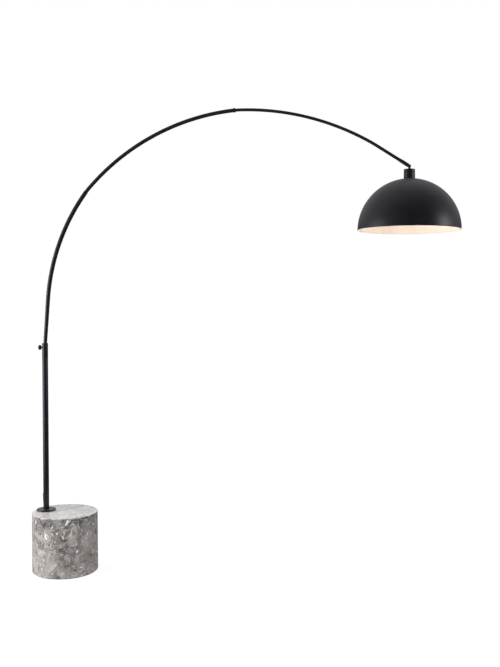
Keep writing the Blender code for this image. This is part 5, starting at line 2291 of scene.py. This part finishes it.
@dataclass
class Studio:
    """The floor, the backdrop, the lights and the camera."""

    floor_half: float = 40.0
    floor_drop: float = 0.0002
    camera_place: tuple[float, float, float] = (1.7405, -3.3867, 1.1575)
    camera_fall: float = 1.955
    lens: float = 46.52
    gloss_level: float = 0.56
    dark_band: tuple[float, float] = (0.10, 0.24)
    dark_level: float = 0.25
    matt_level: float = 0.95
    gloss_turn: tuple[float, float] = (-0.88, 0.65)
    behind_turn: tuple[float, float] = (0.30, 0.80)
    matt_turn: tuple[float, float] = (-0.8, 0.9)
    matt_sides: tuple[float, float] = (0.55, 1.80)
    matt_rise: tuple[float, float] = (-0.2, 1.0)
    matt_heights: tuple[float, float] = (0.76, 1.50)
    boxes: tuple[SoftBox, ...] = (
        SoftBox("left_wall_light", (-2.15, -1.6, 1.0), (0.2, 0.0, 0.8), (2.2, 2.0), 44.0),
        SoftBox(
            "pole_strip_light", (-1.35, -1.0, 0.8), (-0.1, 0.0, 0.8), (0.9, 1.5), 13.0, lights_matt=False
        ),
        SoftBox("right_wall_light", (3.9, -0.2, 1.75), (1.4, 0.0, 1.5), (0.8, 1.0), 20.0),
    )

    def build(self) -> None:
        """Sets the floor, the backdrop, the lights and the camera."""
        self._build_floor()
        self._build_world()
        for box in self.boxes:
            box.build()
        self._build_camera()
        bpy.context.scene.view_settings.view_transform = "Standard"

    def _build_floor(self) -> None:
        """A wide sheet just under the lamp."""
        shape = bmesh.new()
        bmesh.ops.create_grid(shape, x_segments=4, y_segments=4, size=self.floor_half)
        floor = new_object("floor", mesh_from("floor", shape), FLOOR)
        floor.location.z = -self.floor_drop

    def _build_world(self) -> None:
        """A white backdrop; what shines sees it dark in front and bright behind and above."""
        world = bpy.data.worlds.new("studio")
        bpy.context.scene.world = world
        world.use_nodes = True
        canvas = Canvas(world.node_tree)
        direction = canvas.add("ShaderNodeTexCoord").outputs["Generated"]
        turn = math.radians(CAMERA_AZIMUTH)
        backward = canvas.vector("DOT_PRODUCT", direction, (-math.sin(turn), math.cos(turn), 0.0))
        in_gloss = canvas.spread(backward, *self.gloss_turn, 0.0, self.gloss_level)
        rise = canvas.add("ShaderNodeSeparateXYZ", None, Vector=direction).outputs["Z"]
        behind = canvas.spread(backward, *self.behind_turn, 0.0, 1.0)
        low_dark = canvas.spread(rise, *self.dark_band, self.dark_level, 1.0)
        in_gloss = canvas.compute("MULTIPLY", in_gloss, canvas.blend_value(behind, 1.0, low_dark))
        leftward = canvas.vector("DOT_PRODUCT", direction, (-math.cos(turn), -math.sin(turn), 0.0))
        away, near = (self.matt_level * share for share in self.matt_sides)
        sideways = canvas.spread(leftward, *self.matt_turn, away, near)
        heights = canvas.spread(rise, *self.matt_rise, *self.matt_heights)
        in_matt = canvas.compute("MULTIPLY", sideways, heights)
        path = canvas.add("ShaderNodeLightPath")
        strength = canvas.blend_value(path.outputs["Is Glossy Ray"], in_matt, in_gloss)
        strength = canvas.blend_value(path.outputs["Is Camera Ray"], strength, 1.0)
        backdrop = world.node_tree.nodes["Background"]
        canvas.feed(backdrop.inputs["Color"], (1.0, 1.0, 1.0))
        canvas.feed(backdrop.inputs["Strength"], strength)

    def _build_camera(self) -> None:
        """The camera, at the display angle."""
        camera = bpy.data.cameras.new("camera")
        camera.lens = self.lens
        camera.sensor_width = 36.0
        made = bpy.data.objects.new("camera", camera)
        bpy.context.scene.collection.objects.link(made)
        made.location = self.camera_place
        made.rotation_euler = (math.radians(90 - self.camera_fall), 0.0, math.radians(CAMERA_AZIMUTH))
        bpy.context.scene.camera = made


def main() -> None:
    """Builds the lamp, piece by piece, and the studio round it."""
    logging.basicConfig(level=logging.INFO, format="%(name)s: %(message)s")
    arm = ArcArm()
    hinge = TiltHinge(arm)
    head = ShadeHead(hinge)
    for assembly in (StoneBase(), Pole(), Clamp(), arm, hinge, head):
        assembly.build()
        assembly.dress()
        LOG.info("%s done", type(assembly).__name__)
    head.light()
    Studio().build()


if __name__ == "__main__":
    main()
